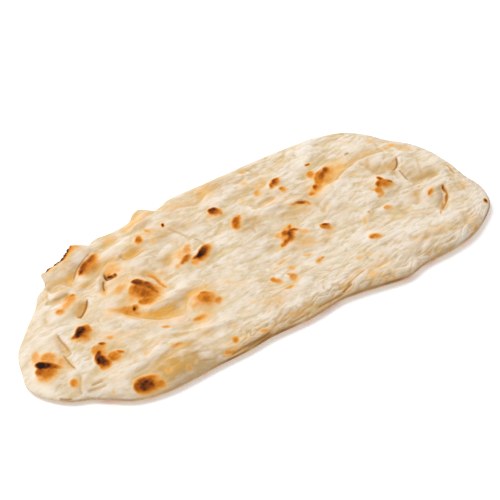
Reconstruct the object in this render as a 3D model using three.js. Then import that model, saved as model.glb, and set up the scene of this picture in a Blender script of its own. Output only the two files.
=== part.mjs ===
// A pinsa base: one long oval flatbread of baked dough, lying flat, with nothing on it.
//
// Millimetres, +Z up. X runs along the bread from its left end to its right end, Y from its front
// edge to its back edge. The origin is on the surface that the bread lies on, under the middle of
// its box.
//
// The bread is one closed body in two skins that meet along its edge. The upper skin carries the
// relief of the baked dough: swells, blisters, creases, ridges and ledges. The lower skin is flat
// where the bread rests, and turns up to the edge all round.

import * as THREE from 'three';

// ---- Driving sizes ----
const HALF_LENGTH = 180;
const HALF_WIDTH = 81;
const CRUMB_HEIGHT = 8.2; // the upper skin away from the edge
const EDGE_HEIGHT = 7.4; // the upper skin just inside the edge, as a mean round the bread
const EDGE_RISE_RIGHT = 1.0; // more at the right end, less at the left
const EDGE_RISE_FRONT = 1.7; // more at the front, less at the back
const EDGE_WAIST = 0.42; // how far up the edge its outermost line runs
const SHOULDER_WIDTH = 13; // the rounded band of the upper skin, in from the edge
const UNDERCUT_WIDTH = 8; // the rounded band of the lower skin, in from the edge
const CROWN_WIDTH = 34; // how far in the edge's height still shows

// The edge, from the right end round by the back, the left end and the front. A smooth curve joins
// these points.
const OUTLINE = [
  [178.5, 2], [177, 15], [171, 30], [160, 45], [151, 59], [139, 71], [120, 77.5], [88, 80.5],
  [50, 81.5], [20, 81.5], [-8, 81], [-23, 77], [-31, 84.5], [-44, 76.5], [-60, 74.5], [-72, 75],
  [-83, 69], [-122, 53], [-131, 48], [-137, 40], [-146, 31], [-157, 20], [-167, 9], [-171, 1],
  [-174, -9], [-177, -19], [-174, -31], [-161, -46], [-149, -52], [-139, -60], [-126, -69],
  [-106, -73.5], [-72, -73], [-46, -73], [-26, -71.5], [4, -72.5], [30, -70], [47, -72], [62, -75],
  [80, -78], [98, -74.5], [122, -74], [143, -70.5], [161, -62], [173, -53], [179.5, -39], [179, -18],
];

// The corner at the back on the left is torn off along straight lines, and turned up.
const TORN_EDGE = [[-83, 69], [-90, 77], [-103, 66], [-121, 62], [-122, 53]];
const TORN_CORNER = { x: -106, y: 68, long: 34, short: 19, turn: 25, lift: 5.0 };

// Broad swells and hollows of the dough: [x, y, half length, half width, turn in degrees, height].
const SWELLS = [
  [-92, -58, 36, 20, 6, 3.2], // the fat front edge on the left
  [-134, -46, 30, 22, -30, 1.6],
  [-138, 8, 30, 24, 60, 1.5],
  [-66, 32, 52, 22, 24, 2.4], // the roll in front of the long back crease
  [-84, 60, 44, 12, 17, -1.6], // the thin band behind it
  [-20, -52, 60, 18, -6, 1.4],
  [6, 8, 60, 26, 14, 1.0],
  [40, 58, 56, 20, 6, -1.2],
  [100, -44, 50, 26, 4, 1.8],
  [104, 8, 52, 24, 10, 1.6],
  [128, -54, 40, 20, 6, 1.6], // the round shoulder on the right
  [66, -28, 44, 22, 8, -0.8],
  [164, 8, 24, 30, -10, -0.8],
];

// Blisters, in the same terms.
const BLISTERS = [
  [-160, -15, 16, 12, 60, 2.2],
  [-153, -38, 8, 6, 80, 1.0],
  [-127, -4, 12, 9, 30, 2.6],
  [-129, -31, 10, 8, 75, 2.4],
  [-118, -33, 8, 6, 10, 1.6],
  [-118, -65, 13, 10, 0, 2.4],
  [-91, 49, 13, 7, 30, 2.8],
  [-120, 21, 13, 10, 35, 2.2],
  [-121, 38, 10, 6, 5, 1.8],
  [-74, 9, 17, 12, -80, 3.4],
  [-46, -22, 14, 11, -30, 2.6],
  [-21, 15, 13, 8, 38, 2.4],
  [-37, 19, 12, 9, 45, 1.8],
  [-51, 50, 9, 7, 55, 1.3],
  [-39, 71, 15, 8, 22, 2.6],
  [9, 46, 8, 7, -45, 1.6],
  [15, 28, 9, 7, 45, 1.6],
  [61, 48, 11, 7, 25, 1.5],
  [90, 35, 18, 11, 38, 1.6],
  [62, 19, 12, 7, -25, 1.6],
  [36, -3, 14, 9, 35, 2.0],
  [62, -9, 8, 7, 0, 1.4],
  [121, 4, 12, 10, 50, 2.0],
  [83, -37, 9, 7, -20, 1.2],
  [134, 23, 17, 11, -20, 1.9],
  [155, 3, 15, 13, -16, 2.2],
  [143, -23, 9, 6, 35, 1.2],
  [9, -33, 13, 11, 30, 1.2],
];

// Creases and ridges: a height at the line, a half width, and the points that the line runs by.
const FOLDS = [
  { rise: -1.9, width: 3.6, line: [[-111, 41], [-102, 48], [-91, 56], [-76, 60], [-55, 64]] },
  { rise: -2.2, width: 4.0, line: [[-125, 45], [-115, 45], [-107, 44]] },
  { rise: -1.6, width: 3.2, line: [[-131, 38], [-125, 33], [-114, 33]] },
  { rise: -1.6, width: 3.2, line: [[-110, 21], [-116, 13], [-122, 10]] },
  { rise: -1.7, width: 4.0, line: [[-108, 32], [-95, 35], [-84, 41], [-72, 44]] },
  { rise: -2.0, width: 3.0, line: [[-98, 18], [-94, 25], [-89, 32], [-82, 33]] },
  { rise: -2.8, width: 4.6, line: [[-99, 2], [-90, -6], [-84, -15], [-73, -20], [-61, -18], [-36, -9]] },
  { rise: 1.6, width: 4.4, line: [[-85, -7], [-74, -8], [-60, -8], [-46, -5]] },
  { rise: -1.4, width: 3.0, line: [[-67, 22], [-63, 14], [-61, 6]] },
  { rise: -1.5, width: 3.0, line: [[-141, 3], [-143, -8], [-146, -18], [-147, -28]] },
  { rise: -1.6, width: 3.4, line: [[-71, 45], [-66, 40], [-55, 42]] },
  { rise: -1.6, width: 3.6, line: [[-128, -55], [-105, -53], [-88, -50], [-72, -54]] },
  { rise: 1.2, width: 4.0, line: [[-90, -43], [-66, -45], [-36, -50]] },
  { rise: -1.4, width: 3.4, line: [[-66, -69], [-52, -72], [-38, -70]] },
  { rise: -1.6, width: 3.4, line: [[-20, -69], [0, -69], [20, -69], [32, -68], [50, -61]] },
  { rise: -1.4, width: 3.4, line: [[30, 34], [40, 33], [52, 36]] },
  { rise: 1.4, width: 4.0, line: [[28, 32], [42, 29], [58, 26], [72, 21]] },
  { rise: -2.2, width: 3.0, line: [[155, -21], [151, -29], [145, -36], [136, -44]] },
  { rise: -1.4, width: 3.0, line: [[148, 21], [143, 14], [138, 10], [138, -4]] },
  { rise: -1.3, width: 3.4, line: [[140, -5], [150, -8], [164, -7]] },
  { rise: -1.3, width: 3.4, line: [[-4, 60], [5, 62], [11, 67], [15, 72]] },
  { rise: -1.3, width: 4.0, line: [[72, -68], [102, -70], [134, -64], [154, -55]] },
  { rise: -1.3, width: 3.4, line: [[147, 34], [158, 31], [167, 22]] },
  { rise: -1.2, width: 3.0, line: [[175, 1], [171, -9], [168, -22], [162, -38]] },
];

// Ledges: the skin on the left of the line, going along it, stands higher than that on its right.
// The step is `rise` high and `width` wide, and what it lifts falls back over `hold`.
const LEDGES = [
  { rise: 2.6, width: 2.2, hold: 22, line: [[158, 33], [138, 33], [118, 32], [100, 28], [72, 20]] },
  { rise: 1.8, width: 2.2, hold: 10, line: [[-57, -19], [-64, -24], [-75, -22], [-86, -16], [-93, -7]] },
];

// The share of a fold's or a ledge's length over which each of its ends fades out.
const END_FADE = 0.22;

// Long waves of the dough: [length of the wave along X, along Y, phase, height].
const WAVES = [
  [94, 61, 0.4, 0.45],
  [-58, 43, 2.1, 0.35],
  [71, -37, 4.0, 0.3],
];

// How finely the skins are divided.
const CELLS_ALONG = 100;
const CELLS_ACROSS = 44;
const EDGE_CROWDING = 1.4; // above 1, cells grow narrow towards the edge
const CORNER_CROWDING = 8; // how closely the torn corner's own reach keeps to the edge
const STEPS_BETWEEN_FOLD_POINTS = 5;
const LOWER_STRIDE = 2; // one cell of the lower skin for so many of the upper one's

const FULL_TURN = 2 * Math.PI;
const square = (value) => value * value;
const clamp01 = (value) => Math.min(1, Math.max(0, value));
const smooth = (value) => square(clamp01(value)) * (3 - 2 * clamp01(value));
const mix = (from, to, share) => from + (to - from) * share;

// The height of a quarter circle above its chord's start, 0 to 1 as its run goes from 0 to 1.
const quarterRound = (run) => Math.sqrt(1 - square(1 - clamp01(run)));

// ---- The outline ----
//
// The outline is held against a plain ellipse: a bearing goes round from the right end by the
// back, and a reach of 1 is on the ellipse.

const bearingOf = ([x, y]) => Math.atan2(y / HALF_WIDTH, x / HALF_LENGTH);
const reachOf = ([x, y]) => Math.hypot(x / HALF_LENGTH, y / HALF_WIDTH);
const turnedPositive = (bearing) => (bearing + FULL_TURN) % FULL_TURN;

// The outline's points as bearings and reaches, in order, with the curve's slope at each.
const knots = OUTLINE.map((point) => ({ at: turnedPositive(bearingOf(point)), reach: reachOf(point) }));
knots.forEach((knot, i) => {
  const before = knots[(i + knots.length - 1) % knots.length];
  const after = knots[(i + 1) % knots.length];
  knot.slope = (after.reach - before.reach) / turnedPositive(after.at - before.at);
});

// The edge's reach by a smooth closed curve through the outline's points.
function roundReach(bearing) {
  const next = knots.findIndex((knot) => knot.at > turnedPositive(bearing));
  const end = knots[Math.max(next, 0)];
  const start = knots[(Math.max(next, 0) + knots.length - 1) % knots.length];
  const span = turnedPositive(end.at - start.at);
  const t = turnedPositive(bearing - start.at) / span;
  return (2 * t ** 3 - 3 * t ** 2 + 1) * start.reach + (t ** 3 - 2 * t ** 2 + t) * span * start.slope
    + (3 * t ** 2 - 2 * t ** 3) * end.reach + (t ** 3 - t ** 2) * span * end.slope;
}

// The reach of the straight line between two points.
function straightReach(from, to, bearing) {
  const start = new THREE.Vector2(...from);
  const run = new THREE.Vector2(...to).sub(start);
  const outward = new THREE.Vector2(HALF_LENGTH * Math.cos(bearing), HALF_WIDTH * Math.sin(bearing));
  return start.cross(run) / outward.cross(run);
}

function edgeReach(bearing) {
  for (let i = 0; i + 1 < TORN_EDGE.length; i++) {
    const [from, to] = [TORN_EDGE[i], TORN_EDGE[i + 1]];
    if (bearing > bearingOf(from) && bearing <= bearingOf(to)) return straightReach(from, to, bearing);
  }
  return roundReach(bearing);
}

// How far the tangent line of the plain ellipse passes from the middle.
function ellipseDistance(bearing) {
  return 1 / Math.hypot(Math.cos(bearing) / HALF_LENGTH, Math.sin(bearing) / HALF_WIDTH);
}

// A place on the bread from two coordinates that each run from -1 to 1, a square bent into the
// outline. `inset` is the distance in from the edge.
function placeAt(u, v) {
  const across = u * Math.sqrt(1 - (v * v) / 2);
  const along = v * Math.sqrt(1 - (u * u) / 2);
  const bearing = Math.atan2(along, across);
  const run = 1 - (1 - Math.min(1, Math.hypot(across, along))) ** EDGE_CROWDING;
  const fullReach = edgeReach(bearing);
  const smoothReach = roundReach(bearing);
  const reach = mix(1, smoothReach, run ** 2) + (fullReach - smoothReach) * run ** CORNER_CROWDING;
  return {
    x: run * reach * HALF_LENGTH * Math.cos(bearing),
    y: run * reach * HALF_WIDTH * Math.sin(bearing),
    bearing,
    inset: (fullReach - run * reach) * ellipseDistance(bearing),
  };
}

// ---- The relief ----

// A round-topped mound, 1 at its middle and 0 from its outline on.
function mound(x, y, middleX, middleY, halfLength, halfWidth, turnInDegrees) {
  const turn = THREE.MathUtils.degToRad(turnInDegrees);
  const along = (x - middleX) * Math.cos(turn) + (y - middleY) * Math.sin(turn);
  const across = (y - middleY) * Math.cos(turn) - (x - middleX) * Math.sin(turn);
  return square(clamp01(1 - square(along / halfLength) - square(across / halfWidth)));
}

function moundsHeight(mounds, x, y) {
  let height = 0;
  for (const [middleX, middleY, halfLength, halfWidth, turn, rise] of mounds) {
    height += rise * mound(x, y, middleX, middleY, halfLength, halfWidth, turn);
  }
  return height;
}

// The points of a smooth curve through a fold's own points.
function smoothLine(points) {
  const curve = new THREE.SplineCurve(points.map(([x, y]) => new THREE.Vector2(x, y)));
  return curve.getPoints((points.length - 1) * STEPS_BETWEEN_FOLD_POINTS);
}

// The nearest point of a line: how far it is, how far along, from 0 to 1, and on which side the
// place lies, 1 on the right of the line and -1 on its left.
function nearestOnLine(line, x, y) {
  const best = { distance: Infinity, side: 0, run: 0 };
  for (let i = 0; i + 1 < line.length; i++) {
    const stepX = line[i + 1].x - line[i].x;
    const stepY = line[i + 1].y - line[i].y;
    const offX = x - line[i].x;
    const offY = y - line[i].y;
    const share = clamp01((offX * stepX + offY * stepY) / (stepX * stepX + stepY * stepY));
    const distance = Math.hypot(offX - share * stepX, offY - share * stepY);
    if (distance < best.distance) {
      best.distance = distance;
      best.side = Math.sign(stepY * offX - stepX * offY);
      best.run = (i + share) / (line.length - 1);
    }
  }
  return best;
}

// A fold or a ledge fades out towards both of its ends.
const endFade = (run) => smooth(run / END_FADE) * smooth((1 - run) / END_FADE);

const folds = FOLDS.map((fold) => ({ ...fold, line: smoothLine(fold.line) }));
const ledges = LEDGES.map((ledge) => ({ ...ledge, line: smoothLine(ledge.line) }));

function foldsHeight(x, y) {
  let height = 0;
  for (const { rise, width, line } of folds) {
    const near = nearestOnLine(line, x, y);
    height += rise * Math.exp(-square(near.distance / width)) * endFade(near.run);
  }
  return height;
}

function ledgesHeight(x, y) {
  let height = 0;
  for (const { rise, width, hold, line } of ledges) {
    const near = nearestOnLine(line, x, y);
    const step = -0.5 * Math.tanh((near.side * near.distance) / width);
    height += rise * step * Math.exp(-near.distance / hold) * endFade(near.run);
  }
  return height;
}

function wavesHeight(x, y) {
  let height = 0;
  for (const [lengthX, lengthY, phase, rise] of WAVES) {
    height += rise * Math.sin(FULL_TURN * (x / lengthX + y / lengthY) + phase);
  }
  return height;
}

// ---- The two skins ----

function edgeHeight(bearing) {
  return EDGE_HEIGHT + EDGE_RISE_RIGHT * Math.cos(bearing) - EDGE_RISE_FRONT * Math.sin(bearing);
}

// The height of the edge's outermost line, where the two skins meet.
const waistHeight = (bearing) => EDGE_WAIST * edgeHeight(bearing);

function cornerLift(x, y) {
  const corner = TORN_CORNER;
  return corner.lift * mound(x, y, corner.x, corner.y, corner.long, corner.short, corner.turn);
}

function upperSkin({ x, y, bearing, inset }) {
  const level = mix(edgeHeight(bearing), CRUMB_HEIGHT, smooth(inset / CROWN_WIDTH));
  const relief = moundsHeight(SWELLS, x, y) + moundsHeight(BLISTERS, x, y)
    + foldsHeight(x, y) + ledgesHeight(x, y) + wavesHeight(x, y);
  const waist = waistHeight(bearing);
  return waist + (level + relief - waist) * quarterRound(inset / SHOULDER_WIDTH) + cornerLift(x, y);
}

function lowerSkin({ x, y, bearing, inset }) {
  const turnedUp = waistHeight(bearing) * (1 - quarterRound(inset / UNDERCUT_WIDTH));
  return turnedUp + cornerLift(x, y);
}

// ---- The mesh ----

function isOnEdge(column, row) {
  return column === 0 || row === 0 || column === CELLS_ALONG || row === CELLS_ACROSS;
}

const keyOf = (column, row) => `${column},${row}`;

// The bread's vertices, the lower skin's after the upper one's. Both skins share those of the edge.
function makeVertices() {
  const positions = [];
  const upper = new Map();
  const lower = new Map();
  const add = (skin, column, row, place, z) => {
    skin.set(keyOf(column, row), positions.length / 3);
    positions.push(place.x, place.y, z);
  };
  for (let row = 0; row <= CELLS_ACROSS; row++) {
    for (let column = 0; column <= CELLS_ALONG; column++) {
      const place = placeAt((2 * column) / CELLS_ALONG - 1, (2 * row) / CELLS_ACROSS - 1);
      add(upper, column, row, place, upperSkin(place));
      if (isOnEdge(column, row)) {
        lower.set(keyOf(column, row), upper.get(keyOf(column, row)));
      } else if (column % LOWER_STRIDE === 0 && row % LOWER_STRIDE === 0) {
        add(lower, column, row, place, lowerSkin(place));
      }
    }
  }
  return { positions, upper, lower };
}

// The upper skin's cells, each cut along the diagonal whose ends differ less in height, so that
// the cuts run with the folds.
function upperTriangles({ positions, upper }) {
  const triangles = [];
  const heightOf = (index) => positions[3 * index + 2];
  for (let row = 0; row < CELLS_ACROSS; row++) {
    for (let column = 0; column < CELLS_ALONG; column++) {
      const [a, b, c, d] = [[0, 0], [1, 0], [1, 1], [0, 1]]
        .map(([right, back]) => upper.get(keyOf(column + right, row + back)));
      if (Math.abs(heightOf(a) - heightOf(c)) < Math.abs(heightOf(b) - heightOf(d))) {
        triangles.push(a, b, c, a, c, d);
      } else {
        triangles.push(a, b, d, b, c, d);
      }
    }
  }
  return triangles;
}

// The lower skin's cells. A cell's outline takes in the edge's extra vertices, and the cell is
// fanned out from its corner nearest to the middle of the bread.
function lowerTriangles({ positions, lower }) {
  const triangles = [];
  const fromMiddle = (index) => Math.hypot(positions[3 * index], positions[3 * index + 1]);
  const outlineSteps = [[0, 0], [0, 1], [0, 2], [1, 2], [2, 2], [2, 1], [2, 0], [1, 0]];
  for (let row = 0; row < CELLS_ACROSS; row += LOWER_STRIDE) {
    for (let column = 0; column < CELLS_ALONG; column += LOWER_STRIDE) {
      const outline = outlineSteps
        .map(([right, back]) => lower.get(keyOf(column + right, row + back)))
        .filter((index) => index !== undefined);
      const nearest = outline.reduce((best, index) => (fromMiddle(index) < fromMiddle(best) ? index : best));
      const start = outline.indexOf(nearest);
      const ring = [...outline.slice(start), ...outline.slice(0, start)];
      for (let i = 1; i + 1 < ring.length; i++) {
        triangles.push(ring[0], ring[i], ring[i + 1]);
      }
    }
  }
  return triangles;
}

// The bread's body, with the middle of its box over the origin.
function makeBreadGeometry() {
  const vertices = makeVertices();
  const geometry = new THREE.BufferGeometry();
  geometry.setAttribute('position', new THREE.Float32BufferAttribute(vertices.positions, 3));
  geometry.setIndex([...upperTriangles(vertices), ...lowerTriangles(vertices)]);
  geometry.computeBoundingBox();
  const middle = geometry.boundingBox.getCenter(new THREE.Vector3());
  geometry.translate(-middle.x, -middle.y, 0);
  geometry.computeVertexNormals();
  return geometry;
}

function makeCrust() {
  return new THREE.MeshStandardMaterial({
    name: 'baked dough',
    color: 0xe6d3ae,
    roughness: 0.85,
    metalness: 0,
  });
}

const pinsa = new THREE.Group();
const bread = new THREE.Mesh(makeBreadGeometry(), makeCrust());
bread.name = 'pinsa_base';
pinsa.add(bread);

export default pinsa;
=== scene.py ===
"""A pinsa base on a pale studio floor: one long oval flatbread of baked dough, lying flat.

The bread is one closed mesh. Its form is worked out in millimetres from the same driving sizes as
the solid that it stands for, with the finer relief of the dough added: crisp edges and creases,
wrinkles, and the teeth of the torn corner. Named fields on its vertices say how far each place is
toasted, tanned or floured, and where painted shade and painted highlights go: darker in creases,
hollows, grooves and on slopes turned from the light, paler on lips and on shaded places. One
procedural material turns them into crust.
"""

import math

import bpy
import numpy as np
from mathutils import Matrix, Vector


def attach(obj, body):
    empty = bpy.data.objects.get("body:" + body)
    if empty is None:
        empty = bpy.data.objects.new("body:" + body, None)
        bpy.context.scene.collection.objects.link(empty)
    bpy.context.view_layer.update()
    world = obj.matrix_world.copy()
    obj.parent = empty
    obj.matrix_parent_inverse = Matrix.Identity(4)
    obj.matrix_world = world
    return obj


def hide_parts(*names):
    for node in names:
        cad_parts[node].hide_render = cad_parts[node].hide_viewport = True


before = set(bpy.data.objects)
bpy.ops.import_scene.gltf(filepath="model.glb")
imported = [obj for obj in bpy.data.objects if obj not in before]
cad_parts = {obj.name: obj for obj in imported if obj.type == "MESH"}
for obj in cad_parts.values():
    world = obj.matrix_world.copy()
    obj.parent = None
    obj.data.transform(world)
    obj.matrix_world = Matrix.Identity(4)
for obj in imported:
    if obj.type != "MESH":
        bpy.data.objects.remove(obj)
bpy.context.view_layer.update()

NODE = "pinsa_base"
MM = 0.001
FULL_TURN = 2 * math.pi

# ---- Driving sizes, in millimetres ----
HALF_LENGTH = 180.0
HALF_WIDTH = 81.0
CRUMB_HEIGHT = 8.2
EDGE_HEIGHT = 7.4
EDGE_RISE_RIGHT = 1.0
EDGE_RISE_FRONT = 1.7
EDGE_WAIST = 0.42
SHOULDER_WIDTH = 13.0
UNDERCUT_WIDTH = 8.0
CROWN_WIDTH = 34.0

# The edge, from the right end round by the back, the left end and the front.
OUTLINE = [
    (178.5, 2), (177, 15), (171, 30), (160, 45), (151, 59), (139, 71), (120, 77.5), (88, 80.5),
    (50, 81.5), (20, 81.5), (-8, 81), (-23, 77), (-31, 84.5), (-44, 76.5), (-60, 74.5), (-72, 75),
    (-83, 69), (-122, 53), (-131, 48), (-137, 40), (-146, 31), (-157, 20), (-167, 9), (-171, 1),
    (-174, -9), (-177, -19), (-174, -31), (-161, -46), (-149, -52), (-139, -60), (-126, -69),
    (-106, -73.5), (-72, -73), (-46, -73), (-26, -71.5), (4, -72.5), (30, -70), (47, -72), (62, -75),
    (80, -78), (98, -74.5), (122, -74), (143, -70.5), (161, -62), (173, -53), (179.5, -39), (179, -18),
]

# The corner at the back on the left is torn off along straight lines, and turned up.
TORN_EDGE = [(-83, 69), (-90, 77), (-103, 66), (-121, 62), (-122, 53)]
TORN_CORNER = (-106, 68, 34, 19, 25, 5.0)
TEETH = 9
TOOTH_DEPTH = 2.4
TOOTH_REACH = 2.2
TOOTH_SHIFT = 0.35  # how unevenly the teeth are set, in parts of their spacing
TOOTH_SHIFT_PACE = 19
TORN_FADE = 0.06  # over what share of the torn edge, at each end, its teeth set in

# Broad swells and hollows of the dough: x, y, half length, half width, turn in degrees, height.
SWELLS = [
    (-92, -58, 36, 20, 6, 3.2),
    (-134, -46, 30, 22, -30, 1.6),
    (-138, 8, 30, 24, 60, 1.5),
    (-66, 32, 52, 22, 24, 2.4),
    (-84, 60, 44, 12, 17, -1.6),
    (-20, -52, 60, 18, -6, 1.4),
    (6, 8, 60, 26, 14, 1.0),
    (40, 58, 56, 20, 6, -1.2),
    (100, -44, 50, 26, 4, 1.8),
    (104, 8, 52, 24, 10, 1.6),
    (128, -54, 40, 20, 6, 1.6),
    (66, -28, 44, 22, 8, -0.8),
    (164, 8, 24, 30, -10, -0.8),
]

# Blisters, in the same terms.
BLISTERS = [
    (-160, -15, 16, 12, 60, 2.2),
    (-153, -38, 8, 6, 80, 1.0),
    (-127, -4, 12, 9, 30, 2.6),
    (-129, -31, 10, 8, 75, 2.4),
    (-118, -33, 8, 6, 10, 1.6),
    (-118, -65, 13, 10, 0, 2.4),
    (-91, 49, 13, 7, 30, 2.8),
    (-120, 21, 13, 10, 35, 2.2),
    (-121, 38, 10, 6, 5, 1.8),
    (-74, 9, 17, 12, -80, 3.4),
    (-46, -22, 14, 11, -30, 2.6),
    (-21, 15, 13, 8, 38, 2.4),
    (-37, 19, 12, 9, 45, 1.8),
    (-51, 50, 9, 7, 55, 1.3),
    (-39, 71, 15, 8, 22, 2.6),
    (9, 46, 8, 7, -45, 1.6),
    (15, 28, 9, 7, 45, 1.6),
    (61, 48, 11, 7, 25, 1.5),
    (90, 35, 18, 11, 38, 1.6),
    (62, 19, 12, 7, -25, 1.6),
    (36, -3, 14, 9, 35, 2.0),
    (62, -9, 8, 7, 0, 1.4),
    (121, 4, 12, 10, 50, 2.0),
    (83, -37, 9, 7, -20, 1.2),
    (134, 23, 17, 11, -20, 1.9),
    (155, 3, 15, 13, -16, 2.2),
    (143, -23, 9, 6, 35, 1.2),
    (9, -33, 13, 11, 30, 1.2),
]

# Broad folds: height at the line, half width, and the points that the line runs by.
BROAD_FOLDS = [
    (-1.9, 3.6, [(-111, 41), (-102, 48), (-91, 56), (-76, 60), (-55, 64)]),
    (-2.2, 4.0, [(-125, 45), (-115, 45), (-107, 44)]),
    (-1.6, 3.2, [(-131, 38), (-125, 33), (-114, 33)]),
    (-1.6, 3.2, [(-110, 21), (-116, 13), (-122, 10)]),
    (-1.7, 4.0, [(-108, 32), (-95, 35), (-84, 41), (-72, 44)]),
    (-2.0, 3.0, [(-98, 18), (-94, 25), (-89, 32), (-82, 33)]),
    (-2.8, 4.6, [(-99, 2), (-90, -6), (-84, -15), (-73, -20), (-61, -18), (-36, -9)]),
    (1.6, 4.4, [(-85, -7), (-74, -8), (-60, -8), (-46, -5)]),
    (-1.4, 3.0, [(-67, 22), (-63, 14), (-61, 6)]),
    (-1.5, 3.0, [(-141, 3), (-143, -8), (-146, -18), (-147, -28)]),
    (-1.6, 3.4, [(-71, 45), (-66, 40), (-55, 42)]),
    (-1.6, 3.6, [(-128, -55), (-105, -53), (-88, -50), (-72, -54)]),
    (1.2, 4.0, [(-90, -43), (-66, -45), (-36, -50)]),
    (-1.4, 3.4, [(-66, -69), (-52, -72), (-38, -70)]),
    (-1.6, 3.4, [(-20, -69), (0, -69), (20, -69), (32, -68), (50, -61)]),
    (-1.4, 3.4, [(30, 34), (40, 33), (52, 36)]),
    (1.4, 4.0, [(28, 32), (42, 29), (58, 26), (72, 21)]),
    (-2.2, 3.0, [(155, -21), (151, -29), (145, -36), (136, -44)]),
    (-1.4, 3.0, [(148, 21), (143, 14), (138, 10), (138, -4)]),
    (-1.3, 3.4, [(140, -5), (150, -8), (164, -7)]),
    (-1.3, 3.4, [(-4, 60), (5, 62), (11, 67), (15, 72)]),
    (-1.3, 4.0, [(72, -68), (102, -70), (134, -64), (154, -55)]),
    (-1.3, 3.4, [(147, 34), (158, 31), (167, 22)]),
    (-1.2, 3.0, [(175, 1), (171, -9), (168, -22), (162, -38)]),
]

# The camera, where the photograph's was.
CAMERA_AZIMUTH = math.radians(-35.0)
CAMERA_ELEVATION = math.radians(42.0)
CAMERA_DISTANCE = 1.1
CAMERA_AIM = (11.0, 7.8, 0.0)
VIEW_WIDTH = 0.34
SENSOR_WIDTH = 36.0

# The finer marks below are placed where the photograph shows them, by its pixels, across and down.
# They are put on the bread where the camera's rays meet its skin.
PHOTO_PIXELS = 500
RAY_STEPS = 4  # each brings the place where a ray meets the skin closer

# Thin creases: height at the line, half width, how sharply it cuts in, how dark it is, as painted
# shade in the crease, and the pixels that it runs by.
FOLDS = [
    # the short tear near the turned-up corner
    (-1.0, 1.6, 0.8, 1.6, [(103.5, 272), (105.5, 277.5), (110, 278.5), (115.5, 274)]),
    (-0.9, 1.6, 0.6, 1.1, [(104, 279), (103, 285), (105, 292)]),
    # the notch of the zigzag cut at the left end, and the scratch and the fold in front of it
    (-0.5, 1.2, 0.8, 0.7, [(72, 352), (68, 355), (64, 357)]),
    (-0.5, 1.2, 0.8, 0.5, [(91, 386), (98, 383), (104, 380)]),
    (-0.5, 1.4, 0.5, 0.5, [(86, 393), (96, 389), (109, 384)]),
    # a thin line from the speck at the back to the slash
    (-0.5, 1.1, 0.6, 0.35, [(166, 227.5), (178, 232.5), (190, 238)]),
    # cracks along the front rim
    (-0.7, 1.4, 0.5, 0.9, [(228, 357), (238, 351), (250, 344), (262, 337)]),
    (-0.7, 1.4, 0.5, 0.9, [(250, 351), (263, 342), (276, 333)]),
    (-0.6, 1.4, 0.5, 0.7, [(286, 326), (300, 318), (314, 311)]),
    # the middle and the far side
    (-0.9, 1.7, 0.3, 0.35, [(256, 209), (262, 203), (268, 200), (278, 197)]),
    (-0.9, 1.9, 0.3, 0.3, [(262, 178), (264, 184), (261, 188), (258, 192), (252, 195)]),
    (-0.8, 1.6, 0.4, 0.4, [(237, 173), (244, 172), (248, 170), (255, 174)]),
    (-0.8, 1.6, 0.4, 0.35, [(235, 185), (240, 181), (245, 176)]),
    (-0.6, 1.5, 0.3, 0.25, [(223, 222), (219, 229), (215, 236)]),
    (-0.6, 1.3, 0.4, 0.4, [(252, 227), (254, 230), (256, 234)]),
    # the left half
    (-0.8, 2.2, 0.2, 0.2, [(46, 310), (46, 318), (45, 325)]),
    (-0.6, 1.8, 0.3, 0.25, [(111, 330), (117, 328), (123, 325)]),
    (-0.5, 1.3, 0.4, 0.35, [(199, 239), (202, 243), (206, 244)]),
    (-0.8, 2.4, 0.2, 0.15, [(152, 263), (160, 250), (168, 243), (180, 238)]),
    (-0.7, 2.2, 0.2, 0.2, [(146, 258), (151, 266), (158, 270)]),
    (-0.8, 2.6, 0.2, 0.15, [(166, 276), (168, 266), (167, 256)]),
    (-0.9, 2.0, 0.3, 0.3, [(197, 372), (193, 362), (201, 352)]),
    # the right half
    (-0.8, 2.0, 0.2, 0.2, [(317, 202), (320, 207), (325, 213)]),
    (-0.8, 2.2, 0.2, 0.15, [(352, 204), (358, 199), (366, 196)]),
    (-0.7, 2.0, 0.2, 0.2, [(400, 208), (406, 213), (402, 218), (390, 221)]),
    (-0.8, 2.4, 0.2, 0.15, [(424, 233), (436, 234), (450, 231)]),
    (-0.7, 2.0, 0.2, 0.15, [(416, 192), (418, 199), (416, 205)]),
    (-0.7, 2.2, 0.2, 0.15, [(380, 246), (392, 243), (404, 242)]),
    (-0.9, 2.4, 0.2, 0.2, [(408, 240), (420, 236), (432, 238)]),
    (-0.6, 1.5, 0.5, 0.95, [(342, 295), (347, 288.5), (353, 283)]),
    # painted shadow line at the foot of the left end's rim, which also stands for its browned edge
    (0.0, 1.0, 0.0, 1.3, [(24, 386), (28, 391), (33, 395), (40, 398.5)]),
    (0.0, 1.0, 0.0, 0.8, [(58, 400), (66, 401), (74, 400.5)]),
    (0.0, 1.0, 0.1, 1.4, [(86, 400.5), (92, 402), (99, 401)]),
    # specks
    (-0.2, 1.0, 0.2, 0.9, [(344, 155), (346.5, 153.5), (349, 153)]),
    (-0.2, 1.0, 0.2, 0.9, [(337.5, 134.5), (341, 134), (344, 134)]),
    (-0.1, 1.0, 0.1, 0.7, [(97, 321), (100.5, 321.5)]),
    (-0.1, 1.0, 0.1, 0.8, [(193.5, 238.5), (198.5, 239.5)]),
]
CREASE_WIDTH = 0.9
CREASE_DEPTH = 0.6  # the depth of a crease whose height at the line is -1
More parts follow.
